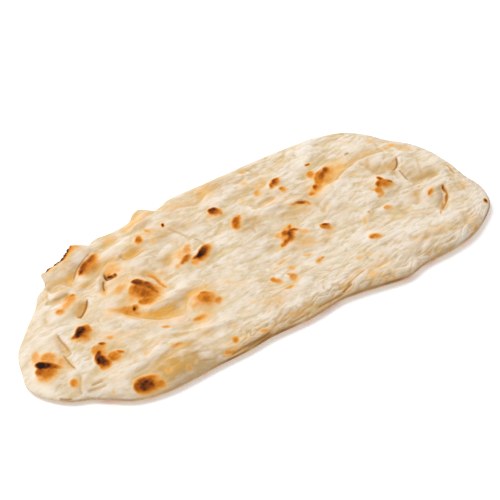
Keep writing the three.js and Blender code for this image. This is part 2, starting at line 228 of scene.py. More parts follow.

# Crisp edges, where the skin on the left of the line, going along it, stands higher. Each has its
# rise, how far its height holds, how wide its step is, how tan, ochre and toasted the dough is at
# its foot, the tan partly as painted shade, how dark the painted shade of the crease there is, how
# far those colours reach, and the pixels it runs by.
EDGES = [
    # behind the right half, the long ledge
    (2.4, 20, 1.2, 0.4, 0.45, 0.1, 0.55, 6, [(393, 152), (378, 153), (367, 157), (357, 161),
     (351, 166), (342, 173), (336, 180), (325, 187), (314, 194)]),
    # trough front lip
    (1.8, 10, 1.0, 0.1, 0.9, 0.12, 0.6, 7, [(188, 310), (178, 316), (165, 318.5), (152, 319),
     (140, 318), (130, 315), (120, 312), (106, 312)]),
    # pale ridge
    (1.2, 6, 1.1, 0.1, 0.7, 0.0, 0.1, 5, [(142, 310), (149, 314), (160, 309), (168, 304), (178, 299),
     (185, 294), (192, 290), (205, 285), (220, 281)]),
    # trough right lip
    (1.5, 8, 1.1, 0.1, 0.6, 0.0, 0.35, 5, [(208, 286), (197, 292), (190, 297), (186, 304), (187, 312)]),
    # great outer crease
    (1.0, 4, 0.9, 0.2, 0.3, 0.7, 0.4, 3, [(170, 290), (162, 286), (156, 281), (150, 277.5),
     (142, 275)]),
    # great top
    (0.9, 3, 0.9, 0.0, 0.0, 0.85, 0.3, 4.5, [(131, 282), (140, 280), (147, 283), (152, 287), (158, 291),
     (161, 296)]),
    # crescent
    (1.3, 8, 1.0, 0.2, 0.7, 0.3, 0.7, 3, [(152, 249), (142, 252), (135, 257), (128, 260), (122, 258.5),
     (116, 254)]),
    # flap ridge left
    (1.8, 3, 1.0, 0.2, 0.35, 0.1, 0.8, 3, [(96, 249), (88, 256), (83, 262), (78, 269), (75, 277),
     (72, 285)]),
    # back blister top
    (1.2, 3, 0.9, 0.0, 0.2, 0.7, 0.25, 4.5, [(77, 276), (80, 270), (85, 264), (89, 258), (94, 256),
     (100, 256)]),
    # tear arc
    (1.6, 6, 1.0, 0.1, 0.45, 0.15, 0.2, 5, [(99, 292), (100, 281), (103, 274), (108, 268), (116, 264),
     (126, 261)]),
    # left of the tear
    (1.4, 5, 1.4, 0.35, 0.25, 0.0, 0.35, 5, [(114, 256), (107, 263), (102, 270), (98, 278), (90, 285),
     (78, 291)]),
    # zigzag upper
    (1.1, 6, 0.8, 0.55, 0.3, 0.15, 0.75, 4, [(56, 332), (61, 340), (66, 345), (72, 353)]),
    # zigzag lower
    (0.9, 5, 0.8, 0.5, 0.3, 0.25, 0.8, 3, [(63, 353), (67, 359), (72, 365), (78, 371)]),
    # ear top
    (0.9, 4, 0.9, 0.0, 0.2, 0.5, 0.3, 4, [(61, 304), (66, 297), (70, 294.5), (77, 296.5)]),
    # ear right
    (1.3, 6, 0.9, 0.2, 0.6, 0.2, 1.1, 5, [(88, 297), (87.5, 304), (85.5, 311), (82, 317), (78, 319)]),
    # flap foot
    (1.4, 6, 1.1, 0.3, 0.45, 0.05, 0.35, 5, [(72, 291), (69, 286), (62, 284), (55, 285), (48, 289)]),
    # lump lower
    (1.0, 5, 0.9, 0.2, 0.25, 0.0, 0.55, 2.5, [(50, 301), (58, 299), (64, 296), (71, 291)]),
    # lump left
    (0.7, 5, 0.9, 0.15, 0.25, 0.0, 0.4, 2.5, [(51, 287), (47.5, 294), (49, 302)]),
    # front left fold
    (1.4, 8, 1.2, 0.6, 0.1, 0.0, 0.5, 5, [(82, 373), (81, 382), (81, 390), (84, 398)]),
    # bulge crest
    (1.6, 12, 2.6, 0.65, 0.1, 0.0, 0.0, 14, [(124, 381), (136, 377), (148, 370), (157, 361), (165, 353),
     (174, 346), (186, 341)]),
    # bulge left crease
    (1.0, 8, 1.1, 0.15, 0.4, 0.05, 0.25, 3, [(172, 333), (160, 342), (150, 352), (143, 358)]),
    # bulge lip
    (0.8, 4, 1.0, 0.4, 0.0, 0.0, 0.15, 6, [(183, 348), (191, 352.5), (200, 350), (212, 352)]),
    # front crack left
    (1.8, 10, 0.9, 0.35, 0.1, 0.2, 1.0, 2.2, [(242, 352), (252, 343.5), (260, 338), (267, 333.5),
     (272, 329)]),
    # front lip
    (1.0, 3, 0.9, 0.15, 0.3, 0.05, 0.6, 3, [(292, 317), (284, 321), (277, 325), (271, 331),
     (266, 337)]),
    # front lip 2
    (0.9, 3, 0.9, 0.1, 0.15, 0.0, 0.5, 3, [(319, 301.5), (310, 306.5), (302, 312), (295, 317),
     (287, 320)]),
    # front crack right
    (1.3, 6, 0.9, 0.3, 0.3, 0.1, 0.8, 2.5, [(316, 308), (322, 304.5), (330, 300), (338, 296),
     (346, 292)]),
    # front lip 3
    (1.2, 3, 0.9, 0.15, 0.5, 0.1, 0.7, 3, [(368, 269), (362, 272.5), (356, 278), (350, 284),
     (346, 290)]),
    # front patch lip
    (0.8, 2.5, 0.9, 0.3, 0.1, 0.4, 0.5, 3.5, [(247, 350), (238, 354), (228, 357), (220, 359)]),
    # panel one
    (0.7, 6, 1.2, 0.75, 0.1, 0.0, 0.1, 9, [(392, 172), (380, 175), (371, 172.5), (364, 167.5),
     (356, 162)]),
    # panel one end
    (1.5, 5, 0.9, 0.3, 0.5, 0.35, 1.1, 4, [(396, 156), (397.5, 163), (396.5, 168), (392, 172)]),
    # panel two corner
    (1.0, 4, 0.9, 0.5, 0.0, 0.1, 0.8, 8, [(409, 182), (403, 176), (397, 170)]),
    # panel two
    (0.7, 6, 1.2, 0.7, 0.1, 0.0, 0.1, 9, [(442, 174), (430, 177), (421, 180), (408, 181.5)]),
    # panel two crease
    (0.6, 3, 0.9, 0.3, 0.15, 0.15, 0.4, 4, [(423, 179), (420, 171), (417, 164), (416, 156)]),
    # slit
    (1.2, 5, 0.9, 0.0, 0.2, 0.3, 0.9, 2.4, [(441, 215), (442, 209), (445, 203), (446.5, 197),
     (445.5, 192), (443, 188), (440.5, 182)]),
    # back right nick
    (0.9, 3, 0.9, 0.1, 0.3, 0.4, 0.7, 2, [(455, 175), (450, 170), (445, 164)]),
    # right crease
    (0.7, 4, 1.0, 0.3, 0.1, 0.0, 0.4, 4, [(466, 194), (461, 186), (456, 179)]),
    # right ear
    (0.8, 8, 1.3, 0.55, 0.2, 0.0, 0.25, 8, [(470, 238), (467, 226), (464, 218), (457, 212)]),
    # right front crease
    (0.6, 6, 1.0, 0.45, 0.1, 0.0, 0.45, 4, [(452, 252), (448.5, 245), (444, 239)]),
    # mark on the right
    (1.1, 6, 0.9, 0.0, 0.1, 0.65, 0.5, 2.4, [(286, 205), (294, 203.5), (301, 200.5), (307, 201.5),
     (314, 206)]),
    # fork ridge
    (1.3, 4, 1.1, 0.25, 0.35, 0.0, 0.2, 4, [(304, 196), (288, 200.5), (276, 204.5), (266, 208),
     (250, 210.5)]),
    # back band
    (1.3, 8, 1.4, 0.4, 0.35, 0.05, 0.3, 6, [(207, 189), (204, 197), (197, 204), (188, 206), (176, 210),
     (163, 214)]),
    # back left band
    (1.6, 9, 1.1, 0.2, 0.7, 0.1, 0.35, 6, [(158, 211), (149, 215), (141, 220), (134, 224), (128, 230),
     (119, 236)]),
    # back left band 2
    (1.3, 8, 1.2, 0.2, 0.3, 0.05, 0.25, 4, [(121, 235), (114, 242), (105, 247), (95, 253)]),
    # back right rim
    (0.9, 5, 1.0, 0.15, 0.5, 0.1, 0.25, 3.5, [(417, 149.5), (408, 151.5), (400, 151), (393, 147),
     (384, 150), (372, 152)]),
    # oval by the tear
    (0.7, 4, 0.9, 0.0, 0.45, 0.2, 0.15, 4, [(127, 280), (127, 286), (122, 290.5), (113, 294)]),
    # arc on the right
    (0.7, 4, 0.9, 0.1, 0.45, 0.0, 0.3, 2.5, [(390, 258), (386, 264), (378, 267.5), (369, 267)]),
    # low ridge
    (1.0, 8, 2.0, 0.3, 0.1, 0.0, 0.0, 7, [(150, 338), (170, 334), (192, 331), (215, 327), (238, 320)]),
    # right shoulder
    (1.0, 10, 2.4, 0.35, 0.0, 0.0, 0.0, 10, [(366, 277), (385, 268), (400, 263), (425, 254), (445, 243),
     (460, 232)]),
    # wide lip in the middle
    (0.9, 10, 1.8, 0.3, 0.0, 0.0, 0.0, 8, [(225, 248), (245, 243), (262, 233), (276, 222), (300, 216)]),
    # hollow over the middle
    (0.9, 8, 1.6, 0.35, 0.05, 0.0, 0.0, 7, [(246, 217), (262, 216), (285, 213), (303, 209),
     (318, 208)]),
]
EDGE_STEP = 0.7  # the height of an edge whose rise is 1
EDGE_SOFTNESS = 1.35

# The coloured foot of an edge, partly painted shade, the painted shade of the crease in it and the
# painted highlight of the pale lip above it: their widths, and how far from the line the crease and
# the lip are.
FOOT_WIDTH = 1.8
FOOT_FALLOFF = 1.4
CREASE_SEAT = 0.5
LIP_SEAT = 1.5
LIP_WIDTH = 1.3
LIP_HIGHLIGHT_SHARE = 0.7

# Long waves of the dough: length of the wave along X, along Y, phase, height.
WAVES = [
    (94, 61, 0.4, 0.45),
    (-58, 43, 2.1, 0.35),
    (71, -37, 4.0, 0.3),
]

END_FADE = 0.22  # over what share of its length a fold or an edge sets in, at each end
STEPS_BETWEEN_FOLD_POINTS = 5

# The dough's own unevenness. Lumps: length, width and turn of the grains, seed, and height on the
# left and on the right half. Wrinkles: the same, with how wide their grooves are before the seed.
LUMPS = [
    (30, 14, 10, 5, 0.55, 0.55),
    (11, 6, 8, 15, 0.12, 0.16),
]
WRINKLES = [
    (40, 13, 6, 0.25, 11, 0.25, 0.5),
    (24, 6.5, 2, 0.14, 23, 0.25, 0.5),
    (12, 3.4, -4, 0.16, 37, 0.14, 0.2),
]
RIGHT_HALF = (-50.0, 120.0)  # where it starts, and over what length it sets in
MEAN_WRINKLE = 0.5  # taken off again, so that the bread keeps its height
PULL_ALONG = 0.5  # how far wrinkles are pulled about, in parts of their length
PULL_ACROSS = 0.7  # and in parts of their width
PULL_STRETCH = 3
PULL_SEEDS = (50, 60)

# The front rim is gathered. Where something is to the front is given as the sine at which it starts
# and over how much it sets in, and where it is to the right in millimetres, in the same way.
GATHER_FRONT = (0.1, 0.4)
GATHER_RIGHT = (-80.0, 40.0)
GATHER_REACH = 15.0
GATHER_HEIGHT = 0.9
GATHER_MEAN = 0.7
# how much painted shade the grooves between the gathers take
GATHER_GROOVE_SHADE = 0.6
GATHER_WRINKLES = (15, 4.4, 14, 0.18, 61)

# The front rim's colours: painted shade along the rim, and at its foot a brown band that comes and
# goes, a painted shadow line that also stands for the browned lower edge.
RIM_FRONT = (0.25, 0.3)
RIM_SHADE_RIGHT = (-130.0, 30.0)
RIM_SHADE_REACH = 6.0
RIM_SHADE = 0.6
RIM_SHADOW_BROWN_REACH = 0.9
RIM_SHADOW_BROWN_LEAST = 0.3
RIM_SHADOW_BROWN_MEAN = 0.55
RIM_SHADOW_BROWN_VARIATION = 0.6
RIM_SHADOW_BROWN_GRAIN = (26, 26, 0, 131)

# The torn edge's colours. Pairs are values at the tip of the corner and at the torn edge's far end,
# but for the charred teeth's, which are at their tips and between them.
CHAR_REACH = 2.6
CHAR_TOAST = (1.1, 0.7)
BAND_REACH = (9.0, 3.0)
BAND_TOAST = (0.6, 0.42)
BAND_NARROWING = 0.6  # the share of the torn edge over which the band gets narrower

# Toasted and charred spots: pixels across and down, half length and half width in pixels, turn in
# degrees, strength. A strong one has a crisp edge on its upper left, and fades out on its lower
# right, and a weak one is soft all round.
SPOTS = [
    # left end
    (47, 361, 16, 8.5, 0, 0.38), (50, 358, 10.5, 6.5, 0, 0.5), (62, 362, 8, 5.5, -10, 0.42),
    (36, 359, 5.5, 8, 0, 0.46), (46, 366, 11, 4.2, 0, 1.0), (42, 366.5, 5, 5, 0, 0.96),
    (57, 367, 8, 2.6, -6, 0.72), (49, 372, 11.5, 8, 8, 0.68), (41, 373, 6, 5, 0, 0.74),
    (46, 378, 10, 7, 0, 0.44), (70, 368, 6, 2, -10, 0.3), (86, 336, 10, 8, 15, 0.46),
    (84.5, 333, 8.5, 6.5, 20, 0.7), (82, 330.5, 7, 5.5, 25, 0.94), (79.5, 334, 7, 3.4, 32, 1.0),
    (88, 330, 6, 5, -35, 0.7), (75, 336.8, 5.5, 2.2, 35, 0.76), (88, 338, 6, 5, -20, 0.48),
    (80, 340.5, 8, 3, 0, 0.42), (103, 358, 8, 11, 0, 0.42), (102, 343.8, 4.5, 1.5, 0, 0.82),
    (101, 348, 7, 5, 15, 0.5), (96, 351, 6, 5.5, 40, 0.54), (99, 356, 4.4, 7, -20, 0.9),
    (102.5, 361, 6.5, 6, -30, 0.97), (107, 363.5, 6, 5, 0, 0.78), (104, 367.5, 5, 3.8, 0, 0.6),
    (104, 355, 5, 6, -20, 0.46), (116, 356.5, 9, 5.5, 5, 0.6), (114, 357.5, 5, 3, 0, 0.66),
    (121, 351.5, 5, 2, -5, 0.7), (149, 384.5, 16, 10, 8, 0.6), (147, 386, 13.5, 9, 8, 0.78),
    (149, 386, 11, 7, 10, 0.89), (150, 378, 10, 3, 10, 0.7), (161, 384, 6, 5, 0, 0.58),
    (74.5, 383, 6, 5.5, 0, 0.56), (77, 384, 8, 7, 0, 0.28), (91, 266, 12.5, 7.5, 48, 0.54),
    (87, 266.5, 11, 6, 50, 0.68), (84, 267.5, 9, 3.6, 50, 0.78), (92, 259, 7, 3.6, 35, 0.78),
    (81, 272, 4.5, 3, 40, 0.88), (96, 268, 6, 8, -35, 0.4), (69, 304, 11, 6, 42, 0.44),
    (72, 298.5, 6, 4.5, 0, 0.52), (73, 295.2, 4.5, 1.3, 0, 0.68), (61, 312, 6.5, 3.5, 15, 0.5),
    (60, 311, 4, 2, 20, 0.56), (80, 310, 5, 9, -12, 0.34), (84.5, 308, 1.5, 6, -12, 0.5),
    (80, 317, 3.5, 1.5, 0, 0.55), (115, 270, 13, 3.4, 12, 0.4), (109, 275, 5, 3.5, 0, 0.5),
    (110, 277.6, 6, 2.1, 8, 1.05), (114.5, 275.5, 2.6, 2.2, 45, 0.92), (104.5, 293, 4, 4, 0, 0.4),
    (121, 289, 9, 5, 35, 0.42), (112, 267, 10, 4, 12, 0.34),
    # the great blister
    (145, 293, 16, 11, -12, 0.5), (145, 291, 13, 8.5, -18, 0.68), (140, 282.5, 9, 3.4, -5, 0.89),
    (150, 286, 8, 3.4, -35, 0.84), (154, 290, 4.5, 3, -40, 0.74), (148, 301, 10, 4.5, 10, 0.68),
    (146, 294, 8, 5, 0, 0.66), (134, 291, 6, 8, -15, 0.54), (132, 299, 6, 6, 0, 0.36),
    (134.5, 309, 2.6, 2.6, 0, 1.0), (136, 308, 5, 4, 0, 0.64), (130, 310, 11, 5, 0, 0.5),
    (118, 311, 13, 3.6, -3, 0.38), (130, 313.5, 8, 3, -5, 0.5), (155, 293, 10, 9, -20, 0.54),
    (138, 314, 6, 3, -20, 0.5), (162, 288, 7, 3, -35, 0.36), (152, 274, 12, 3, -15, 0.34),
    (207, 300, 17, 10, -8, 0.44), (209, 298, 12, 7, -10, 0.58), (208, 299.5, 7, 5, -15, 0.62),
    (205, 292.3, 6, 1.6, 5, 0.64), (219, 300.5, 4, 4.5, 0, 0.56), (197, 305, 9, 5, 10, 0.4),
    (202, 317.5, 11, 3.6, 22, 0.48), (199, 318.5, 7, 2, 20, 0.55), (204, 255, 8, 6.5, 40, 0.62),
    (203.5, 252.5, 10.5, 5.4, 48, 0.9), (202, 254, 7, 4.6, 40, 0.94),
    (197, 256.5, 5.5, 2.2, 25, 0.84), (196, 262.5, 5, 4, -10, 0.48), (183, 255, 9, 9, 0, 0.38),
    (186.5, 258.5, 6, 3.8, 38, 0.7), (183, 262.5, 3.5, 2.4, 30, 0.66), (187, 250, 5, 7, 0, 0.46),
    (189, 246, 4, 3.5, 0, 0.34), (178, 266.5, 4.5, 3.2, 35, 0.44), (162, 273, 6, 3, 30, 0.34),
    # middle
    (213, 209.6, 5.5, 2.2, 5, 0.92), (215, 211.5, 7.5, 4, -10, 0.8), (221, 213.5, 4, 2, -25, 0.5),
    (210, 216, 5, 5, 0, 0.34), (215, 215, 7, 3, 0, 0.42), (237, 223, 6, 8, -10, 0.52),
    (236.5, 221.5, 5, 6, -12, 0.76), (239, 217.5, 3.5, 3, 0, 0.62), (237, 226.5, 4.5, 3, 0, 0.66),
    (139, 241, 5.8, 6.5, 0, 0.42), (139, 240.5, 4, 5, 0, 0.7), (148, 231, 5, 2, -15, 0.46),
    (153.5, 242, 3.5, 6, 0, 0.34), (108, 241, 4, 4, 0, 0.3), (189, 224, 3, 6, -15, 0.22),
    (242.5, 172.5, 3.5, 2, 10, 0.42), (245, 184, 6.5, 3, 0, 0.36), (257.5, 193.5, 5, 4, 0, 0.44),
    (257, 187, 2.5, 5, 10, 0.36), (262, 184, 2, 4, -5, 0.3), (243, 201, 5, 4.5, 0, 0.3),
    (275, 183, 7.5, 4.2, 45, 0.6), (275, 181.5, 5, 2.5, 45, 0.88), (271, 186, 2.4, 3.5, 20, 0.74),
    (277, 183, 4, 3, 30, 0.72), (283.5, 189.5, 5.5, 3.6, -15, 0.5), (281.5, 188.3, 3, 2, 0, 0.62),
    (302, 202.3, 8, 2.2, 0, 0.72), (302, 202, 5.5, 1.8, 0, 0.86), (309, 203.5, 4, 1.5, -30, 0.6),
    (292, 204, 6, 1.6, 3, 0.42), (301, 207, 10, 3, 0, 0.24), (311, 175, 5.5, 4.5, 0, 0.56),
    (321, 178, 7, 9, -15, 0.62), (322, 177, 4, 6, -10, 0.72), (326, 170.5, 4.5, 4, -20, 0.8),
    (323, 174, 3, 3, 0, 0.8), (330, 172, 9, 9, 0, 0.42), (316, 187.5, 3, 3.5, 25, 0.84),
    (319, 186, 5, 5, 0, 0.56), (312.5, 193.5, 4.5, 2, 22, 0.66), (317, 190, 9, 6, 45, 0.42),
    (329, 180, 7, 5, 0, 0.45), (340, 168, 12, 6, 30, 0.3), (290, 227, 2.5, 3, 0, 0.66),
    (294, 229.5, 6, 1.8, 8, 0.8), (291, 233.5, 4.5, 4.5, 0, 0.82), (286, 233.5, 5, 3.2, 0, 0.74),
    (291, 238, 4.5, 4, 0, 0.78), (287, 241, 5, 3.5, 30, 0.74), (284, 244.5, 4.2, 3, 30, 0.66),
    (279, 235.5, 5, 3, 20, 0.46), (305, 231.5, 8, 3, 0, 0.4), (289, 235, 9, 11, -35, 0.48),
    (326, 226.5, 7, 3.5, -8, 0.62), (326, 224.5, 4.5, 1.8, -5, 0.9), (330, 229.5, 5, 2.5, 0, 0.38),
    (278, 251, 4, 1.6, 25, 0.36), (283, 261.5, 9, 2.2, 27, 0.4), (276, 268.5, 6, 1.6, 20, 0.36),
    (290, 258, 4, 1.8, 15, 0.3), (292, 268, 5.5, 3, 0, 0.42), (294, 277, 6, 4.2, -28, 0.5),
    (291, 274.5, 5, 1.5, -10, 0.5), (274, 280, 4.5, 2.8, -15, 0.6), (279, 281.5, 7, 3, -12, 0.5),
    (291, 286.5, 6, 1.8, 18, 0.48), (311, 243, 10, 4, 5, 0.28), (320, 260, 5, 3, 38, 0.5),
    (323, 257.5, 2.4, 1.6, 30, 0.6), (308, 254.8, 7, 1.8, 8, 0.42), (255, 302.5, 7, 2.2, 0, 0.28),
    (266, 302, 4.5, 2.2, 0, 0.24), (280, 302.5, 2, 3.5, 0, 0.38),
    # back on the right
    (221, 175.5, 2.4, 0.9, 10, 0.5), (276.5, 161, 2, 1.2, 0, 0.35), (380, 178.5, 4, 2, -20, 0.82),
    (386, 183.5, 9.5, 4.2, -12, 0.6), (390, 181.5, 4.5, 1.3, -12, 0.72), (379, 184, 4, 4, 0, 0.78),
    (379, 190.5, 5, 4, -35, 0.6), (382, 194, 3, 4, -40, 0.48), (379, 196.5, 2.5, 2, 0, 0.5),
    (374, 189.8, 5, 1, 3, 0.5), (389, 207.5, 6, 3.4, 0, 0.46), (386, 206.5, 3, 1.6, 0, 0.5),
    (365, 221, 3, 6, -8, 0.36), (368, 227.5, 3, 2.5, 0, 0.3), (369.5, 212, 2.6, 1, -28, 0.5),
    (376, 236, 8.5, 3.6, 4, 0.54), (372.5, 237, 4, 2, 15, 0.72), (377, 234.5, 5, 2, 0, 0.58),
    (355, 174, 6, 2.6, -3, 0.26), (431, 192, 3.2, 5, -18, 0.58), (430, 193.5, 1.8, 3, -15, 0.66),
    (431, 192, 5.5, 7, -16, 0.3), (410, 209, 6, 2, 8, 0.25), (397, 219, 9, 2.4, 8, 0.22),
    (419.5, 187, 1.6, 1.3, 0, 0.45), (360, 258, 4.5, 3, 0, 0.36), (370, 254.5, 3.5, 3, 0, 0.3),
    (381, 256, 4.5, 2.6, 0, 0.3), (390, 167, 5, 4, 0, 0.3), (392, 145, 7, 2, 5, 0.38),
    (405, 149, 8, 2, -3, 0.3), (370, 141.5, 5, 2, -20, 0.34), (345, 142, 4, 1.6, 0, 0.24),
    (323, 145, 5, 1.6, 5, 0.2), (450, 179, 1.2, 1.5, 0, 0.5), (443.5, 188.5, 1.6, 4.5, 22, 0.9),
    (446, 198, 2, 4.5, -5, 0.78), (442, 206, 2, 5, -12, 0.45), (441, 212, 1.3, 3, 0, 0.5),
    # front edge
    (235, 327, 4, 4.5, 0, 0.3), (236, 340, 5.5, 4, -8, 0.5), (236, 340, 4, 3, 0, 0.6),
    (166, 327, 5.5, 1.6, 0, 0.5), (111, 337.5, 5, 2.8, 0, 0.46), (101, 336, 9, 2.4, 3, 0.22),
    (120, 343, 3.5, 2.2, 0, 0.24), (178, 344.8, 9, 2.6, 16, 0.42), (180, 343.5, 5, 1.4, 12, 0.5),
    (146, 353.5, 3, 3, -30, 0.32), (169, 370, 3.6, 4.6, 0, 0.42), (169, 370, 6, 7, 0, 0.2),
    (190, 367.5, 4, 4, 0, 0.42), (194, 361, 5, 6, -35, 0.22), (232, 352, 8, 3, 12, 0.5),
    (234, 348, 10, 5, 10, 0.33), (265, 330.5, 6, 2.6, 10, 0.46), (247, 338, 6, 2.4, 10, 0.3),
    (345.5, 289, 3, 4.5, -25, 0.3), (291, 313.5, 5, 2.4, 10, 0.36), (373, 274, 6, 5, 0, 0.3),
    (386, 278, 5, 2, 0, 0.4), (395, 278, 3, 2.4, 0, 0.42), (396.5, 271, 3, 3, 0, 0.3),
    (426, 252, 5, 1.4, 8, 0.38), (431, 261, 3, 1.4, 30, 0.4), (475, 221, 6, 8, 0, 0.2),
    (476, 228, 3.5, 1.8, 35, 0.48), (472, 234, 3, 1.4, 45, 0.45), (113.5, 392.5, 1.9, 3, 0, 0.42),
    # specks
    (162.4, 225.4, 2.3, 1.7, -10, 1.1), (485.5, 200.5, 3.0, 1.7, -35, 0.98),
    (307, 164.6, 3.2, 1.4, 12, 0.84),
]
CRISP_SIDE = (-0.85, 0.53)
CRISP_PIXELS = 1.8  # over how many pixels a spot's crisp side fades out
CRISP_SOFTNESS = 0.7  # the softest that this side gets, in parts of the spot's size
SPOT_SOFTNESS = 0.95
WEAK_SPOT = 0.25
CRISP_RANGE = 0.35  # how much stronger than a weak spot a fully crisp one is
FAINT_SIDE = 0.8  # the strength of a spot's soft side, in parts of its own
FAINT_RUN = 1.4  # how far in from there it reaches its own, in parts of the spot's size
SPOT_JOINING = 7  # high, so that spots that overlap are hardly darker for it
TOAST_GRAIN = (3.4, 2.2, 20, 91)
TOAST_VARIATION = 0.06

# The uneven outlines of what is painted: the size of the coarse and the fine unevenness, and how
# far each pulls.
UNEVEN_SIZE = 8.0
UNEVEN_PULL = 0.75
UNEVEN_SEEDS = (71, 81)
FINE_UNEVEN_SIZE = 2.2
FINE_UNEVEN_PULL = 0.25
FINE_UNEVEN_SEED = 4  # added to the coarse one's

# Where the dough is tan, partly its own colour and partly painted shade on slopes turned from the
# light, where it is thin and ochre, and where it is palest and flouriest, partly flour and partly
# painted light on shaded places, in the same terms.
TAN_AND_SHADE_PATCHES = [
    (171, 369, 22, 13, 30, 1.6), (190, 361, 20, 12, 24, 1.3), (206, 358, 14, 7, 20, 0.8),
    (109, 266, 16, 9, 40, 0.9), (132, 252, 16, 7, 35, 1.0), (160, 237, 16, 6, 25, 0.8),
    (122, 278, 30, 14, 25, 0.25), (186, 226, 14, 5, 20, 0.6), (214, 186, 18, 6, 22, 0.8),
    (252, 190, 14, 6, 20, 0.5), (305, 203, 12, 9, 10, 0.9), (270, 194, 22, 5, 10, 0.45),
    (416, 197, 6, 9, 20, 0.5), (340, 170, 8, 8, 0, 0.4), (246, 230, 12, 6, 20, 0.8),
    (275, 300, 12, 7, 20, 0.5), (430, 192, 12, 9, 0, 0.3), (304, 241, 12, 7, 0, 0.8),
    (176, 228, 20, 6, 20, 0.6), (206, 190, 12, 7, 22, 0.45), (172, 212, 9, 6, 10, 0.35),
    (131, 226, 6, 5, 35, 0.4), (262, 193, 16, 6, 12, 0.35), (300, 206, 9, 8, 0, 0.35),
    (300, 245, 14, 5, 10, 0.35), (265, 339, 40, 7, 27, 1.3), (305, 318, 20, 5, 27, 0.7),
    (366, 288, 24, 5, 18, 0.7), (440, 262, 14, 4, 32, 0.6), (70, 287, 12, 6, 10, 0.45),
    (110, 350, 26, 8, 5, 0.22), (84, 384, 10, 8, 0, 0.35), (112, 396, 12, 4, 0, 0.5),
    (190, 345, 11, 7, 20, 1.0), (148, 328, 20, 5, 10, 0.3), (170, 260, 5, 7, 0, 0.3),
    (95, 281, 6, 4, 40, 0.4), (210, 308, 4, 14, 0, 0.3), (378, 167, 17, 6, 3, 0.6),
    (411, 170, 12, 9, 0, 0.55), (431, 169, 11, 5, -2, 0.65), (234, 352, 14, 5, 20, 0.6),
    (300, 319, 24, 4.5, 28, 0.45), (352, 287, 18, 7, 30, 0.42), (388, 277, 20, 7, 18, 0.55),
    (440, 250, 18, 7, 24, 0.5), (69, 279, 6, 8, -25, 0.8), (57, 285, 11, 3.5, 15, 0.6),
    (82, 286, 10, 3.5, 25, 0.3), (98, 270, 5, 10, -35, 0.34), (46, 320, 4, 12, 8, 0.22),
    (33, 340, 4, 16, 0, 0.2), (60, 388, 16, 7, -8, 0.22), (250, 221, 15, 6, 14, 0.7),
    (258, 228, 13, 5, 15, 0.55), (240, 246, 14, 5, 8, 0.2), (310, 243, 12, 4, 5, 0.25),
    (472, 222, 9, 11, 20, 0.45), (455, 228, 16, 6, 10, 0.3), (462, 240, 8, 10, 0, 0.35),
    (420, 240, 18, 6, 14, 0.2), (190, 208, 14, 4, 12, 0.3), (205, 192, 4, 6, -15, 0.35),
    (134, 218, 12, 5, 35, 0.25), (108, 241, 8, 4, 35, 0.3), (178, 345, 14, 5, 20, 0.35),
    (458, 190, 8, 12, 20, 0.25),
]
OCHRE_PATCHES = [
    (158, 314, 20, 4.5, -1, 1.15), (166, 310, 11, 6, 10, 1.0), (178, 305, 8, 9, 15, 0.42),
    (190, 294, 10, 3.6, 32, 0.9), (203, 286, 8, 3, 25, 0.55),
    (125, 310, 16, 4, -4, 0.45), (69, 279, 6, 6, -20, 0.7), (58, 284, 9, 3, 15, 0.4),
    (84, 285, 10, 3.4, 25, 0.4), (108, 241, 7, 3.5, 35, 0.55), (137, 220, 13, 5, 35, 0.6),
    (128, 228, 5, 3.4, 35, 0.85), (174, 207, 14, 4, 10, 0.35), (68, 255, 3.6, 9, -28, 0.9),
    (52, 270, 9, 2.4, 28, 0.5), (66, 351, 3, 6, -15, 0.3), (60, 292, 9, 5, 20, 0.3),
    (335, 170, 14, 8, 38, 0.7), (350, 162, 9, 3, 35, 0.5), (320, 186, 13, 9, 40, 0.55),
    (390, 166, 6, 5, 0, 0.45), (134, 358, 5, 5, 0, 0.22), (103, 336, 12, 2.5, 2, 0.3),
    (128, 334, 12, 2.5, 4, 0.3), (148, 345, 10, 5, 40, 0.2), (272, 200, 12, 3.4, 25, 0.4),
    (262, 184, 4, 6, 0, 0.4), (225, 282, 16, 3.4, 3, 0.32), (247, 284, 10, 2.5, 8, 0.25),
    (310, 243, 10, 4, 5, 0.3), (325, 236, 8, 3, 3, 0.25), (373, 274, 6, 5, 0, 0.45),
    (380, 265, 11, 3, 14, 0.4), (346, 287, 5, 5, -20, 0.5), (301, 312, 14, 3, 28, 0.45),
    (265, 330, 10, 3, 12, 0.45), (247, 338, 6, 3, 0, 0.3), (470, 214, 10, 2.5, -3, 0.3),
    (479, 218, 3, 8, -10, 0.35), (420, 238, 10, 4, 8, 0.25), (440, 229, 18, 3, 8, 0.28),
    (415, 196, 4, 4, 0, 0.3), (392, 145, 8, 2, 0, 0.4), (406, 148, 9, 2, -3, 0.3),
    (370, 141, 5, 2.4, -20, 0.3), (204, 192, 10, 7, 10, 0.5), (180, 345, 10, 4, 18, 0.3),
    (150, 352, 6, 6, 45, 0.2), (114, 350, 10, 4, -2, 0.12), (310, 205, 10, 4, -20, 0.25),
    (325, 208, 4, 6, -30, 0.2), (131, 254, 13, 4.5, 22, 0.5), (128, 297, 6, 4, 0, 0.4),
    (121, 289, 8, 5, 35, 0.45), (109, 265, 12, 6, 35, 0.5), (170, 322, 16, 3, 2, 0.35),
    (128, 285, 34, 15, 12, 0.38), (130, 313, 12, 5, -6, 1.2), (110, 314, 9, 6, 0, 0.5),
    (142, 302, 26, 14, 0, 0.5), (172, 258, 14, 8, 20, 0.35), (176, 318, 20, 8, 0, 0.4),
    (146, 238, 22, 7, 35, 0.25), (204, 318, 9, 16, 0, 0.45), (112, 336, 12, 6, 0, 0.45),
    (280, 300, 16, 9, 20, 0.2), (172, 366, 14, 9, 30, 0.3), (62, 262, 10, 9, 30, 0.5),
    (80, 300, 12, 8, 0, 0.2), (116, 376, 12, 9, 30, 0.2), (305, 241, 12, 8, 0, 0.3),
    (305, 206, 12, 8, 0, 0.25), (104, 271, 5, 9, -30, 0.25),
]
